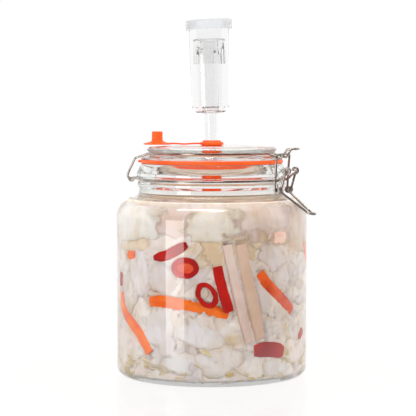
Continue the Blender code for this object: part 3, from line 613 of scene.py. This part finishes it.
def build_airlock(m):
    cup = [
        (17.9, 312.6, 0.4), (17.8, 300.0, 0.0), (16.7, 237.6, 4.0), (12.8, 233.4, 2.0), (5.9, 233.2, 1.2),
        (5.7, 219.0, 0.0), (5.2, 208.6, 0.0), (5.1, 190.4, 0.3), (3.7, 190.4, 0.3), (3.9, 219.0, 0.0),
        (4.6, 240.0, 0.0), (6.9, 296.8, 0.4), (8.1, 296.8, 0.4), (7.9, 277.0, 0.0), (7.0, 235.6, 0.8),
        (12.4, 235.3, 1.5), (15.4, 239.0, 2.0), (16.6, 312.6, 0.4),
    ]
    body = lathe("airlock_cup_clear", cup, m["plastic"], FINE_STEPS)
    inner = [
        (0.0, 298.6, 0.0), (14.0, 298.6, 1.2), (14.2, 276.6, 0.3), (13.0, 276.6, 0.3), (12.8, 297.3, 1.0),
        (0.0, 297.3, 0.0),
    ]
    floating = lathe("airlock_float_clear", inner, m["plastic"], FINE_STEPS)
    cut_notches(floating)
    lid = [
        (0.0, 315.6, 0.0), (20.6, 315.6, 0.9), (20.6, 307.0, 0.3), (19.2, 307.0, 0.3), (19.2, 314.0, 0.6),
        (0.0, 314.0, 0.0),
    ]
    top = lathe("airlock_cap_frosted", lid, m["frosted"], FINE_STEPS)
    top.data.transform(slanted(CAP_SLANT, CAP_PIVOT_Z))
    parts = (
        (body, "clear_plastic", "airlock_body"),
        (floating, "clear_plastic", "airlock_float"),
        (top, "frosted_plastic", "airlock_cap"),
    )
    for piece, slot, node in parts:
        piece.data.transform(slanted(LEAN, LEAN_PIVOT_Z))
        stands_for(piece, "lid", slot, node)


def cut_notches(piece):
    """Two crossing slots through the lower edge of the airlock's inner cup."""
    for azimuth in (-8.0, 82.0):
        bm = bmesh.new()
        bmesh.ops.create_cube(bm, size=MM)
        mesh = bpy.data.meshes.new("notch")
        bm.to_mesh(mesh)
        bm.free()
        mesh.transform(Matrix.Diagonal((40.0, 4.8, 18.0, 1.0)))
        mesh.transform(Matrix.Rotation(math.radians(azimuth), 4, "Z"))
        mesh.transform(Matrix.Translation((0.0, 0.0, 276.6 * MM)))
        cutter = linked("notch", mesh)
        cut = piece.modifiers.new("Notch", "BOOLEAN")
        cut.operation = "DIFFERENCE"
        cut.object = cutter
        apply_modifiers(piece)
        bpy.data.objects.remove(cutter)


def apply_modifiers(piece):
    depsgraph = bpy.context.evaluated_depsgraph_get()
    mesh = bpy.data.meshes.new_from_object(piece.evaluated_get(depsgraph), depsgraph=depsgraph)
    piece.modifiers.clear()
    piece.data = mesh


# Vegetables against the glass: stations are an azimuth in degrees, a height and a depth

CARROTS = {
    "carrot_long": ([(-106.4, 71.0, 0.0), (-97.0, 72.2, 0.0), (-88.0, 71.2, 0.4), (-80.0, 69.4, TUCK),
                     (-67.0, 66.6, TUCK), (-54.5, 61.5, TUCK)], 11.4),
    "carrot_left": ([(-138.0, 75.0, 0.0), (-136.0, 65.4, 0.0), (-132.0, 58.0, 0.0), (-118.4, 45.6, 0.0),
                     (-110.4, 34.4, 0.0), (-106.4, 26.5, 0.0)], 11.0),
    "carrot_right": ([(-34.4, 97.0, 0.0), (-29.6, 88.0, 0.0), (-19.8, 76.5, 0.0),
                      (-6.6, 61.0, 0.0)], 10.6),
    "carrot_bit": ([(-128.2, 109.0, 0.0), (-119.6, 110.4, 0.0)], 8.6),
    "carrot_high": ([(-23.2, 126.0, 1.6), (-12.6, 126.0, 1.6)], 11.6),
    "carrot_side": ([(12.0, 118.0, 0.0), (21.0, 103.0, 0.0), (30.0, 90.0, 0.0)], 9.0),
    "carrot_back_low": ([(62.0, 34.0, 0.0), (76.0, 42.0, 0.0), (90.0, 48.0, 0.0),
                         (104.0, 52.0, 0.0)], 9.0),
    "carrot_back_mid": ([(104.0, 122.0, 0.0), (114.0, 106.0, 0.0), (123.0, 92.0, 0.0)], 8.8),
    "carrot_back_far": ([(168.0, 42.0, 0.0), (180.0, 52.0, 0.0), (192.0, 66.0, 0.0)], 9.2),
}
DAIKONS = {
    "daikon_front": ([(-55.8, 121.5, 0.0), (-51.4, 93.0, 0.0), (-46.6, 65.0, 0.0),
                      (-41.5, 37.5, 0.0)], 9.4),
    "daikon_pale": ([(-47.0, 122.0, 0.0), (-42.8, 93.0, 0.0), (-38.0, 65.0, 0.0), (-35.4, 51.0, 1.2),
                     (-33.0, 39.5, TUCK)], 12.2),
    "daikon_side": ([(32.0, 58.0, 0.0), (27.0, 40.0, 0.0), (22.0, 22.0, 0.0)], 10.0),
    "daikon_back": ([(74.0, 124.0, 0.0), (80.0, 98.0, 0.0), (86.0, 74.0, 0.0)], 10.0),
    "daikon_far": ([(150.0, 118.0, 0.0), (155.0, 92.0, 0.0), (160.0, 68.0, 0.0)], 9.6),
}
CHILLIES = {
    "chilli_band": ([(-102.8, 109.2, 0.0), (-94.5, 111.6, 0.0), (-87.5, 116.2, 0.0),
                     (-80.2, 122.0, 0.0)], 8.8),
    "chilli_sliver": ([(-138.4, 93.0, 0.0), (-138.6, 80.5, 0.0)], 8.6),
    "chilli_strip": ([(-61.6, 103.4, 0.0), (-60.0, 92.0, 0.0), (-57.3, 78.0, 0.0),
                      (-54.2, 64.5, 0.0)], 8.8),
    "chilli_corner": ([(-38.4, 30.2, 0.0), (-30.0, 30.6, 0.0), (-22.0, 29.0, 0.0),
                       (-15.6, 26.4, 0.0)], 13.0),
    "chilli_side": ([(2.0, 36.0, 0.0), (9.0, 42.0, 0.0)], 8.0),
    "chilli_back": ([(122.0, 66.0, 0.0), (133.0, 60.0, 0.0), (143.0, 50.0, 0.0)], 6.4),
}
# Azimuth, height, half width, half height, width of the band and lean
CHILLI_RINGS = {
    "chilli_ring_left": (-81.3, 101.6, 12.4, 9.0, 4.6, 0.0),
    "chilli_ring_loop": (-68.0, 78.8, 9.3, 10.9, 4.2, -0.25),
    "chilli_ring_side": (46.0, 80.0, 7.2, 9.1, 3.4, 0.0),
    "chilli_ring_back": (134.0, 96.0, 7.4, 9.3, 3.6, 0.1),
    "chilli_ring_far": (200.0, 104.0, 7.2, 9.1, 3.4, -0.1),
}


def resampled(stations, spacing):
    """Points (distance along the wall, height, depth) at even steps through the stations."""
    points = [(math.radians(a) * FILL_R, z, deep) for a, z, deep in stations]
    dense = smooth_path(points, 24)
    result = [dense[0]]
    walked = 0.0
    for before, point in zip(dense, dense[1:]):
        walked += (point - before).length
        if walked >= spacing:
            result.append(point)
            walked = 0.0
    if (result[-1] - dense[-1]).length < spacing * 0.4 and len(result) > 2:
        result.pop()
    result.append(dense[-1])
    return result


def wall_place(s, z, radius):
    angle = s / FILL_R
    return Vector((radius * math.cos(angle), radius * math.sin(angle), z))


def edge_depth(thick):
    """How far behind its ridge the long edges of a strip of this thickness lie."""
    return 1.9 if thick > CHILLI_THICK else 0.9


def wall_strip(name, stations, width, thick, material, end_width, ridge):
    """A cut stick or strip along the inside of the glass, turned so that it shows two of its faces."""
    line = resampled(stations, 2.2)
    last = len(line) - 1
    slope = edge_depth(thick) / thick
    section = [Vector(p) for p in ((-0.5, slope), (ridge, 0.0), (0.5, slope), (0.5, 1.0), (-0.5, 1.0))]
    bm = bmesh.new()
    rings = []
    for i, point in enumerate(line):
        along = line[min(i + 1, last)] - line[max(i - 1, 0)]
        along = Vector((along.x, along.y)).normalized()
        across = Vector((-along.y, along.x))
        end = min(i, last - i) / max(1.0, last * 0.22)
        half = width / 2.0 * (end_width + (1.0 - end_width) * smoothstep(0.0, 1.0, end))
        shift = 0.35 * noise.noise(Vector((point.x * 0.15, point.y * 0.15, width)))
        ring = []
        for side, deep in section:
            reach = side * 2.0 * (half + shift)
            rough = 0.12 * noise.noise(Vector((point.x * 0.6, point.y * 0.6, side * 3.0 + deep)))
            s = point.x + across.x * reach
            z = point.y + across.y * reach
            ring.append(bm.verts.new(wall_place(s, z, FILL_R - point.z - thick * deep + rough) * MM))
        rings.append(ring)
    skin(bm, rings)
    cap(bm, rings)
    piece = finished(name, bm, material, 35.0)
    soften(piece, 0.8 * min(1.0, thick * 0.3))
    return piece


def wall_ring(name, ring, thick, material):
    """A slice across a chilli: a rounded band of skin and flesh."""
    azimuth, z, half_width, half_height, band, lean = ring
    s = math.radians(azimuth) * FILL_R
    profile = filleted([(0.0, 0.0, 0.9), (-band, 0.3, 0.9), (-band, thick, 0.7), (0.0, thick, 0.9)], True)
    bm = bmesh.new()
    loops = []
    for grown, deep in profile:
        loop = []
        for i in range(RING_STEPS):
            angle = 360.0 * i / RING_STEPS
            cos, sin = polar(angle)
            uneven = 0.7 * noise.noise(Vector((*polar(angle, 1.6), azimuth)))
            inside = grown / band
            wobble = uneven * (1.0 + inside) - 0.9 * inside * noise.noise(Vector((*polar(angle, 2.2), z)))
            up = (half_height + grown + wobble) * sin
            side = (half_width + grown + wobble) * cos + lean * up
            loop.append(bm.verts.new(wall_place(s + side, z + up, FILL_R - deep) * MM))
        loops.append(loop)
    skin(bm, loops, True)
    return finished(name, bm, material, 60.0)


def ring_flesh(name, ring, material):
    """The paler flesh that shows in the hole of a chilli ring, a little behind its face."""
    azimuth, z, half_width, half_height, band, lean = ring
    s = math.radians(azimuth) * FILL_R
    bm = bmesh.new()
    loops = []
    for deep, reach in ((1.5, 0.0), (1.3, 0.5), (0.9, 0.9), (0.8, 1.0), (2.3, 1.0), (2.3, 0.0)):
        loop = []
        for i in range(FLESH_STEPS):
            cos, sin = polar(360.0 * i / FLESH_STEPS)
            rough = 0.5 * noise.noise(Vector((cos * 2.0 * reach, sin * 2.0 * reach, azimuth)))
            up = (half_height - band + 0.5) * sin * reach
            side = (half_width - band + 0.5) * cos * reach + lean * up
            loop.append(bm.verts.new(wall_place(s + side, z + up, FILL_R - deep + rough) * MM))
        loops.append(loop)
    skin(bm, loops)
    bmesh.ops.remove_doubles(bm, verts=bm.verts, dist=0.0001 * MM)
    return finished(name, bm, material, 60.0)


OTHER_SHADES = {
    "carrot_high": "carrot_pale",
    "carrot_right": "carrot_deep",
    "daikon_pale": "daikon_pale",
    "daikon_back": "daikon_pale",
}
BLUNT_ENDS = {"chilli_strip": 0.9, "chilli_corner": 0.72, "carrot_left": 0.9, "carrot_right": 0.9}


def build_vegetables(m):
    kinds = (
        (CARROTS, STICK_THICK, "carrot", 0.75, 0.12),
        (DAIKONS, STICK_THICK, "daikon", 1.0, -0.3),
        (CHILLIES, CHILLI_THICK, "chilli", 0.5, 0.0),
    )
    for table, thick, kind, end_width, ridge in kinds:
        for name, (stations, width) in table.items():
            look = m[OTHER_SHADES.get(name, kind)]
            end = BLUNT_ENDS.get(name, end_width)
            piece = wall_strip(name + "_cut", stations, width, thick, look, end, ridge)
            stands_for(piece, "jar", kind, name)
    for name, ring in CHILLI_RINGS.items():
        stands_for(wall_ring(name + "_cut", ring, CHILLI_THICK, m["chilli"]), "jar", "chilli", name)
    for name in ("chilli_ring_left", "chilli_ring_far"):
        flesh = ring_flesh(name + "_flesh", CHILLI_RINGS[name], m["chilli_flesh"])
        stands_for(flesh, "jar", "chilli", name)


# The cabbage

def vegetable_lines():
    """Every vegetable as points on the unrolled wall, with its half width and its inner radius."""
    lines = []
    for table, thick in ((CARROTS, STICK_THICK), (DAIKONS, STICK_THICK), (CHILLIES, CHILLI_THICK)):
        for stations, width in table.values():
            for point in resampled(stations, 3.0):
                lines.append((point.x, point.y, width / 2.0, FILL_R - point.z - edge_depth(thick)))
    for azimuth, z, half_width, half_height, _, _ in CHILLI_RINGS.values():
        half = min(half_width, half_height)
        spare = half_width - half
        for k in (-1.0, 0.0, 1.0):
            lines.append((math.radians(azimuth) * FILL_R + k * spare, z, half, FILL_R - 0.9))
    return lines


def room_at(z):
    """How far out a leaf may reach at a height, inside the wall, the heel and the shoulder."""
    if z < FLOOR_Z + INNER_HEEL_R:
        rise = FLOOR_Z + INNER_HEEL_R - z
        heel = INNER_R - INNER_HEEL_R + math.sqrt(max(0.0, INNER_HEEL_R ** 2 - rise ** 2))
        return min(ROOM_R, heel - 0.3)
    if z < 140.0:
        return ROOM_R
    if z < 153.0:
        bend = math.sqrt(max(0.0, INNER_SHOULDER_R ** 2 - (z - 140.0) ** 2))
        return INNER_R - INNER_SHOULDER_R + bend - 0.6
    return max(57.0, 72.0 - (z - 153.0) * 2.3)


DIP_REACH = 12.0


def free_radius(s, z, lines):
    """The radius that a leaf may reach at a place, dipping under the vegetables."""
    room = room_at(z)
    turn = 2.0 * math.pi * FILL_R
    for line_s, line_z, half, inner in lines:
        across = (s - line_s + turn / 2.0) % turn - turn / 2.0
        if abs(across) > DIP_REACH or abs(z - line_z) > DIP_REACH:
            continue
        away = math.hypot(across, z - line_z) - half
        if away < 1.0:
            room = min(room, inner - 0.4 + (room - inner + 0.4) * smoothstep(-0.6, 1.0, away))
    return room


LEAF_COLOURS = (
    (240, 232, 226), (236, 226, 220), (242, 236, 228), (234, 222, 212), (238, 228, 214), (230, 218, 208),
    (240, 230, 226), (236, 224, 220), (244, 238, 232),
)
SHOULDER_COLOURS = ((236, 228, 212), (230, 210, 196), (234, 222, 198))
EDGE_COLOURS = ((226, 206, 176), (232, 216, 196), (234, 220, 206), (220, 194, 158), (236, 224, 214))
SHRED_COLOURS = ((206, 182, 118), (222, 206, 160), (232, 220, 200), (214, 192, 140), (226, 210, 186))
MASS_COLOURS = ((238, 222, 214), (246, 238, 228), (224, 202, 168))

# The brine's warmth, laid on the leaves' red, green and blue
WARMTH = (1.0, 0.91, 0.865)


class Sheets:
    """Thin wavy sheets gathered into one mesh, each point with its own tint."""

    def __init__(self):
        self.verts = []
        self.faces = []
        self.tints = []

    def add(self, rings, tints):
        """A round sheet from rings of points, the first ring being its middle."""
        first = len(self.verts)
        count = len(rings[0])
        for ring, colours in zip(rings, tints):
            self.verts += ring
            self.tints += colours
        self.faces.append(tuple(range(first, first + count)))
        for i in range(len(rings) - 1):
            for j in range(count):
                k = (j + 1) % count
                a, b = first + i * count, first + (i + 1) * count
                self.faces.append((a + k, a + j, b + j, b + k))

    def build(self, name, material, thickness):
        mesh = bpy.data.meshes.new(name)
        mesh.from_pydata([tuple(v * MM) for v in self.verts], [], self.faces)
        layer = mesh.attributes.new("tint", "FLOAT_COLOR", "POINT")
        for value, colour in zip(layer.data, self.tints):
            value.color = (*(channel * share for channel, share in zip(colour, WARMTH)), 1.0)
        mesh.shade_smooth()
        piece = placed(name, mesh, material)
        shell = piece.modifiers.new("Thickness", "SOLIDIFY")
        shell.thickness = thickness * MM
        shell.offset = -1.0
        apply_modifiers(piece)
        return piece


def blend(first, second, share):
    return tuple(a + (b - a) * share for a, b in zip(first, second))


def wall_leaf(sheets, rng, azimuth, z, lines, size, colours, lift, calm=1.0, turn=None, sink=0.5):
    """A torn piece of leaf against the glass: tilted, wavy and ragged at its edge.

    Lift is how far behind the glass it lies, a low calm makes it flat, and its edge sinks in by sink.
    """
    steps, ring_count = 44, 7
    middle, edge = (linear(*colour) for colour in colours)
    turn = math.radians(rng.uniform(-60.0, 60.0) if turn is None else turn)
    seed = Vector((rng.uniform(0.0, 90.0), rng.uniform(0.0, 90.0), rng.uniform(0.0, 90.0)))
    tilt_way = rng.uniform(0.0, 2.0 * math.pi)
    tilt = rng.uniform(0.3, 1.3) * calm
    wave_way = rng.uniform(0.0, math.pi)
    wave = rng.uniform(0.2, 0.7) * calm
    pitch = rng.uniform(9.0, 17.0)
    centre_s = math.radians(azimuth) * FILL_R
    rings, tints = [], []
    for i in range(ring_count):
        share = 0.06 + 0.94 * (i / (ring_count - 1)) ** 0.8
        ring, colours_here = [], []
        for j in range(steps):
            angle = 360.0 * j / steps
            cos, sin = polar(angle)
            place = Vector((cos, sin, 0.0))
            ragged = 0.26 * noise.noise(place * 1.1 + seed) + 0.16 * noise.noise(place * 3.2 + seed)
            ragged += 0.12 * noise.noise(place * 9.0 + seed)
            squarer = 1.0 / max(abs(cos), abs(sin)) ** 0.3
            reach = share * squarer * (1.0 + 1.25 * ragged * share)
            x, y = cos * reach * size[0] / 2.0, sin * reach * size[1] / 2.0
            s = centre_s + x * math.cos(turn) - y * math.sin(turn)
            h = clamp(z + x * math.sin(turn) + y * math.cos(turn), FLOOR_Z + 0.5, HEAP_TOP_Z)
            deep = tilt * (1.0 + share * math.cos(math.radians(angle) - tilt_way))
            across = x * math.cos(wave_way) + y * math.sin(wave_way)
            deep += wave * (1.0 - math.cos(2.0 * math.pi * across / pitch + seed.x))
            deep += 1.5 * calm * noise.noise(Vector((x * 0.16, y * 0.16, 0.0)) + seed)
            deep += 1.2 * calm * share ** 3 * noise.noise(place * 5.0 + seed * 1.7)
            deep = max(0.0, deep) + sink * smoothstep(0.78, 1.0, share)
            radius = min(80.8 - lift - max(0.0, deep), free_radius(s, h, lines) - 0.12 * lift)
            ring.append(wall_place(s, h, max(radius, CORE_R - 3.0)))
            mottle = 0.5 + 0.9 * noise.noise(Vector((x * 0.11, y * 0.11, 3.0)) + seed)
            amount = clamp(smoothstep(0.45, 1.05, share) * 0.75 + 0.35 * (mottle - 0.5), 0.0, 1.0)
            colours_here.append(blend(middle, edge, amount))
        rings.append(ring)
        tints.append(colours_here)
    sheets.add(rings, tints)


def mass_layer(m, lines):
    """The pressed mass of leaf between the torn pieces: one soft, wavy layer all the way round."""
    columns, rows = 300, 92
    low, high = FLOOR_Z + 0.6, HEAP_TOP_Z - 1.0
    pale, white, tan = (linear(*colour) for colour in MASS_COLOURS)
    sheets = Sheets()
    for i in range(rows + 1):
        z = low + (high - low) * i / rows
        for j in range(columns):
            angle = 360.0 * j / columns
            s = math.radians(angle) * FILL_R
            x, y = polar(angle, 3.2)
            broad = noise.noise(Vector((x, y, z * 0.045)))
            fold = abs(noise.noise(Vector((x * 2.1, y * 2.1, z * 0.07 + 9.0))))
            fine = noise.noise(Vector((x * 6.0, y * 6.0, z * 0.22)))
            rough = 1.0 - 0.75 * smoothstep(116.0, 128.0, z)
            deep = 1.7 + (1.1 * broad + 1.5 * smoothstep(0.12, 0.0, fold) + 0.35 * fine) * rough
            deep += 1.6 * smoothstep(150.0, 157.0, z)
            radius = min(80.9 - deep, free_radius(s, z, lines) - 0.5)
            sheets.verts.append(wall_place(s, z, max(radius, INSIDE_R + 0.4)))
            tone = smoothstep(-0.5, 0.6, noise.noise(Vector((x * 1.4 + 5.0, y * 1.4, z * 0.05))))
            stain = smoothstep(0.25, 0.6, noise.noise(Vector((x * 1.9, y * 1.9 + 3.0, z * 0.09))))
            sheets.tints.append(blend(blend(pale, white, tone), tan, 0.75 * stain))
    for i in range(rows):
        for j in range(columns):
            k = (j + 1) % columns
            a, b = i * columns, (i + 1) * columns
            sheets.faces.append((a + j, a + k, b + k, b + j))
    layer = sheets.build("cabbage_mass", m["leaf"], 0.8)
    stands_for(layer, "jar", "cabbage", "cabbage_heap")


# Leaves that show at the front: azimuth, height, size, turn, middle and edge colours, and depth
PLACED_LEAVES = (
    (-124.0, 141.0, (84.0, 46.0), 4.0, (255, 252, 240), (246, 240, 224), 0.0),
    (-63.0, 138.0, (54.0, 30.0), 10.0, (252, 244, 226), (244, 232, 208), 0.2),
    # The next two leaves are cream with a pink tint that is a painted reflection of the orange gasket in
    # the shoulder glass
    (-91.0, 140.0, (56.0, 36.0), 0.0, (240, 216, 206), (236, 210, 198), 0.6),
    (-32.0, 139.0, (76.0, 44.0), 0.0, (240, 218, 204), (236, 212, 194), 0.35),
    (-58.0, 120.0, (50.0, 26.0), 28.0, (242, 216, 180), (236, 210, 176), 0.6),
    (-37.0, 127.0, (38.0, 22.0), 2.0, (244, 222, 190), (238, 216, 190), 0.6),
    (-46.0, 116.0, (38.0, 26.0), 80.0, (234, 212, 176), (228, 204, 166), 0.7),
    (-68.0, 113.0, (26.0, 14.0), 55.0, (244, 222, 190), (238, 214, 182), 0.8),
    (-119.0, 119.5, (44.0, 18.0), 14.0, (246, 226, 194), (240, 216, 184), 0.7),
    (2.0, 134.0, (60.0, 48.0), 0.0, (236, 214, 198), (232, 208, 186), 0.5),
    (-116.0, 97.0, (26.0, 44.0), 6.0, (246, 238, 234), (240, 228, 222), 0.2),
    (-97.0, 92.0, (32.0, 26.0), -20.0, (240, 230, 226), (236, 222, 212), 0.5),
    (-24.0, 110.0, (40.0, 26.0), -30.0, (238, 226, 220), (232, 214, 200), 0.4),
    (-34.0, 78.0, (20.0, 44.0), 12.0, (234, 220, 212), (230, 212, 196), 0.8),
    (-12.0, 90.0, (40.0, 34.0), 0.0, (234, 220, 208), (228, 208, 188), 0.4),
    (-76.0, 46.0, (52.0, 28.0), -22.0, (250, 246, 242), (242, 230, 216), 0.3),
    (-98.0, 44.0, (34.0, 50.0), 6.0, (252, 248, 246), (246, 236, 228), 0.2),
    (-60.0, 24.0, (46.0, 26.0), 8.0, (248, 240, 232), (232, 216, 190), 0.2),
    (-86.0, 20.0, (40.0, 22.0), -10.0, (250, 246, 240), (240, 228, 208), 0.3),
    (-22.0, 14.0, (34.0, 16.0), 0.0, (244, 236, 228), (232, 216, 192), 0.4),
)

SHOULDER_LEAVES = 6
SHREDS = 110
# Heights of the rows of random leaves, and how many leaves go round in each
LEAF_BANDS = ((14.0, 9), (31.0, 9), (48.0, 9), (65.0, 9), (82.0, 9), (98.0, 9), (110.0, 8))


def build_cabbage(m):
    rng = random.Random(SEED)
    lines = vegetable_lines()
    mass_layer(m, lines)
    sheets = Sheets()
    for azimuth, z, size, turn, middle, edge, lift in PLACED_LEAVES:
        wall_leaf(sheets, rng, azimuth, z, lines, size, (middle, edge), lift, calm=0.3, turn=turn,
                  sink=1.6)
    for i in range(SHOULDER_LEAVES):
        azimuth = 24.0 + 36.0 * i + rng.uniform(-8.0, 8.0)
        size = (rng.uniform(50.0, 66.0), rng.uniform(34.0, 42.0))
        colours = (rng.choice(SHOULDER_COLOURS), rng.choice(EDGE_COLOURS))
        wall_leaf(sheets, rng, azimuth, 140.0 + rng.uniform(-3.0, 4.0), lines, size, colours,
                  rng.uniform(0.0, 1.4), calm=0.4)
    for lift in (1.7, 0.3):
        for k, (z, count) in enumerate(LEAF_BANDS):
            for i in range(count):
                azimuth = 360.0 * (i + 0.5 * (k % 2)) / count + rng.uniform(-11.0, 11.0)
                size = (rng.uniform(34.0, 60.0), rng.uniform(18.0, 32.0))
                colours = (rng.choice(LEAF_COLOURS), rng.choice(EDGE_COLOURS))
                wall_leaf(sheets, rng, azimuth, z + rng.uniform(-6.0, 6.0), lines, size, colours,
                          lift + rng.uniform(0.0, 1.2), turn=rng.uniform(-90.0, 90.0),
                          sink=rng.uniform(0.5, 1.5))
    leaves = sheets.build("cabbage_leaves", m["leaf"], 0.5)
    stands_for(leaves, "jar", "cabbage", "cabbage_heap")
    scraps = Sheets()
    for _ in range(SHREDS):
        z = 7.0 + 26.0 * rng.random() ** 2.2
        colours = (rng.choice(SHRED_COLOURS), rng.choice(SHRED_COLOURS))
        azimuth = rng.uniform(0.0, 360.0)
        size = (rng.uniform(8.0, 26.0), rng.uniform(2.5, 6.0))
        wall_leaf(scraps, rng, azimuth, z, lines, size, colours, rng.uniform(0.0, 1.2), calm=0.8,
                  turn=rng.uniform(-35.0, 35.0))
    shreds = scraps.build("cabbage_shreds", m["leaf"], 0.7)
    stands_for(shreds, "jar", "cabbage", "cabbage_heap")
    build_core(m)


def build_core(m):
    core = [
        (0.0, 152.0, 0.0), (40.0, 151.0, 0.0), (60.0, 147.5, 0.0), (CORE_R, 138.0, 6.0),
        (INSIDE_R, 118.0, 0.0), (INSIDE_R, 12.0, 5.0), (INSIDE_R - 7.0, FLOOR_Z + 0.3, 0.0),
        (0.0, FLOOR_Z + 0.3, 0.0),
    ]
    inside = lathe("cabbage_core", core, m["shadowed_leaf"], FINE_STEPS)
    stands_for(inside, "jar", "cabbage", "cabbage_heap")


# Stage, lights and camera

def around(azimuth_from_camera, elevation, distance):
    """A place by its angle to the left of the camera's own direction, as seen from the jar."""
    azimuth = FACING - azimuth_from_camera
    flat = distance * math.cos(math.radians(elevation))
    x, y = polar(azimuth, flat)
    return Vector((x, y, distance * math.sin(math.radians(elevation))))


def area_light(name, place, target, size, power, glossy=True, diffuse=True):
    light = bpy.data.lights.new(name, "AREA")
    light.shape = "RECTANGLE"
    light.size = size[0] * MM
    light.size_y = size[1] * MM
    light.energy = power
    lamp = linked(name, light)
    lamp.location = place * MM
    lamp.rotation_euler = (target - place).to_track_quat("-Z", "Y").to_euler()
    lamp.visible_camera = False
    lamp.visible_glossy = glossy
    lamp.visible_diffuse = diffuse
    lamp.visible_transmission = False


def build_stage():
    """A white sweep: it glows like the background and mirrors the jar's foot a little."""
    bm = bmesh.new()
    bmesh.ops.create_circle(bm, cap_ends=True, segments=96, radius=FLOOR_R * MM)
    mesh = bpy.data.meshes.new("floor")
    bm.to_mesh(mesh)
    bm.free()
    s = new_material("white_floor")
    distance = s.add("VectorMath", {"operation": "LENGTH"})
    s.put(distance, 0, s.where())
    reach = distance.outputs["Value"]
    shade = s.fade(reach, *(r * MM for r in CONTACT_SHADE_R), (CONTACT_SHADE, FLOOR_GLOW))
    glow = s.add("Emission", Color=(1.0, 0.99, 0.985, 1.0), Strength=shade)
    mirror = s.add("BsdfGlossy", Color=(0.96, 0.94, 0.93, 1.0), Roughness=0.12)
    near = s.mix_shaders(FLOOR_MIRROR, glow.outputs[0], mirror.outputs[0])
    clear = s.add("BsdfTransparent")
    edge = s.fade(reach, *(r * MM for r in FLOOR_FADE_R))
    s.put(s.out, "Surface", s.mix_shaders(edge, near, clear.outputs[0]))
    floor = placed("floor", mesh, s.owner)


def build_world():
    """A white room, a little greyer at its sides, that the camera sees as plain white."""
    world = bpy.data.worlds.new("studio")
    bpy.context.scene.world = world
    s = Shader(world, "OutputWorld")
    direction = s.add("TexCoord").outputs["Generated"]
    path = s.add("LightPath").outputs
    seen = s.add("Background", Color=(1.0, 1.0, 1.0, 1.0), Strength=1.02)
    sideways = s.math("ABSOLUTE", s.towards(direction, FACING + 90.0))
    walls = s.ramp(sideways, [(0.5, WHITE), (0.92, ROOM_SIDES)])
    lit = s.add("Background", Color=walls, Strength=1.0)
    room = mirrored_room(s, direction, path, lit)
    s.put(s.out, "Surface", s.mix_shaders(path["Is Camera Ray"], room, seen.outputs[0]))


def mirrored_room(s, direction, path, lit):
    """The world with its camera side dark for mirror images, as an unlit room behind a camera is."""
    camera_side = s.fade(s.towards(direction, FACING), -0.05, 0.3)
    reflected = s.math("SUBTRACT", path["Glossy Depth"], path["Diffuse Depth"], True)
    dark = s.add("Background", Color=(*CAMERA_SIDE, 1.0))
    amount = s.math("MULTIPLY", reflected, camera_side)
    return s.mix_shaders(amount, lit.outputs[0], dark.outputs[0])


LAMP_DISTANCE, LAMP_SIZE = 1400.0, (900.0, 900.0)
# Name, angle to the left of the camera, elevation and power
LAMPS = (
    ("key", 60.0, 14.0, 9.7),
    ("fill", -56.0, 16.0, 12.4),
    ("behind_left", 140.0, 18.0, 7.0),
    ("behind_right", -140.0, 18.0, 7.0),
)


def build_lights():
    target = Vector((0.0, 0.0, 100.0))
    softbox = around(43.3, 0.0, 1200.0)
    softbox.z = -60.0
    flat_target = Vector((0.0, 0.0, -60.0))
    area_light("softbox_reflection", softbox, flat_target, (480.0, 620.0), 5.2, diffuse=False)
    top = Vector((*polar(FACING - 24.0, 420.0), 1250.0))
    area_light("top_reflection", top, target, (900.0, 260.0), 6.0, diffuse=False)
    for name, angle, elevation, power in LAMPS:
        place = around(angle, elevation, LAMP_DISTANCE)
        area_light(name, place, target, LAMP_SIZE, power, glossy=False)
    area_light("above", Vector((0.0, 0.0, 1500.0)), target, (1200.0, 1200.0), 7.5, glossy=False)


def build_camera():
    camera = bpy.data.cameras.new("photo_view")
    camera.lens = CAMERA_LENS
    camera.sensor_width = 36.0
    camera.shift_x = CAMERA_SHIFT_X
    camera.clip_start = 0.05
    camera.clip_end = 50.0
    holder = linked("photo_view", camera)
    x, y = polar(FACING, CAMERA_DISTANCE)
    holder.location = Vector((x, y, CAMERA_HEIGHT)) * MM
    holder.rotation_euler = (math.radians(90.0 + CAMERA_PITCH), 0.0, math.radians(CAMERA_AZIMUTH))
    bpy.context.scene.camera = holder


def main():
    m = make_materials()
    build_jar(m)
    build_brine(m)
    build_lid(m)
    build_gasket(m)
    build_wires(m)
    build_stopper(m)
    build_airlock(m)
    build_vegetables(m)
    build_cabbage(m)
    build_stage()
    build_world()
    build_lights()
    build_camera()
    bpy.context.scene.view_settings.view_transform = "Standard"
    # Light crosses many layers of glass and brine before it leaves the jar
    light_paths = bpy.context.scene.cycles
    light_paths.max_bounces = 20
    light_paths.glossy_bounces = 16
    light_paths.transmission_bounces = 20
    light_paths.transparent_max_bounces = 20


main()
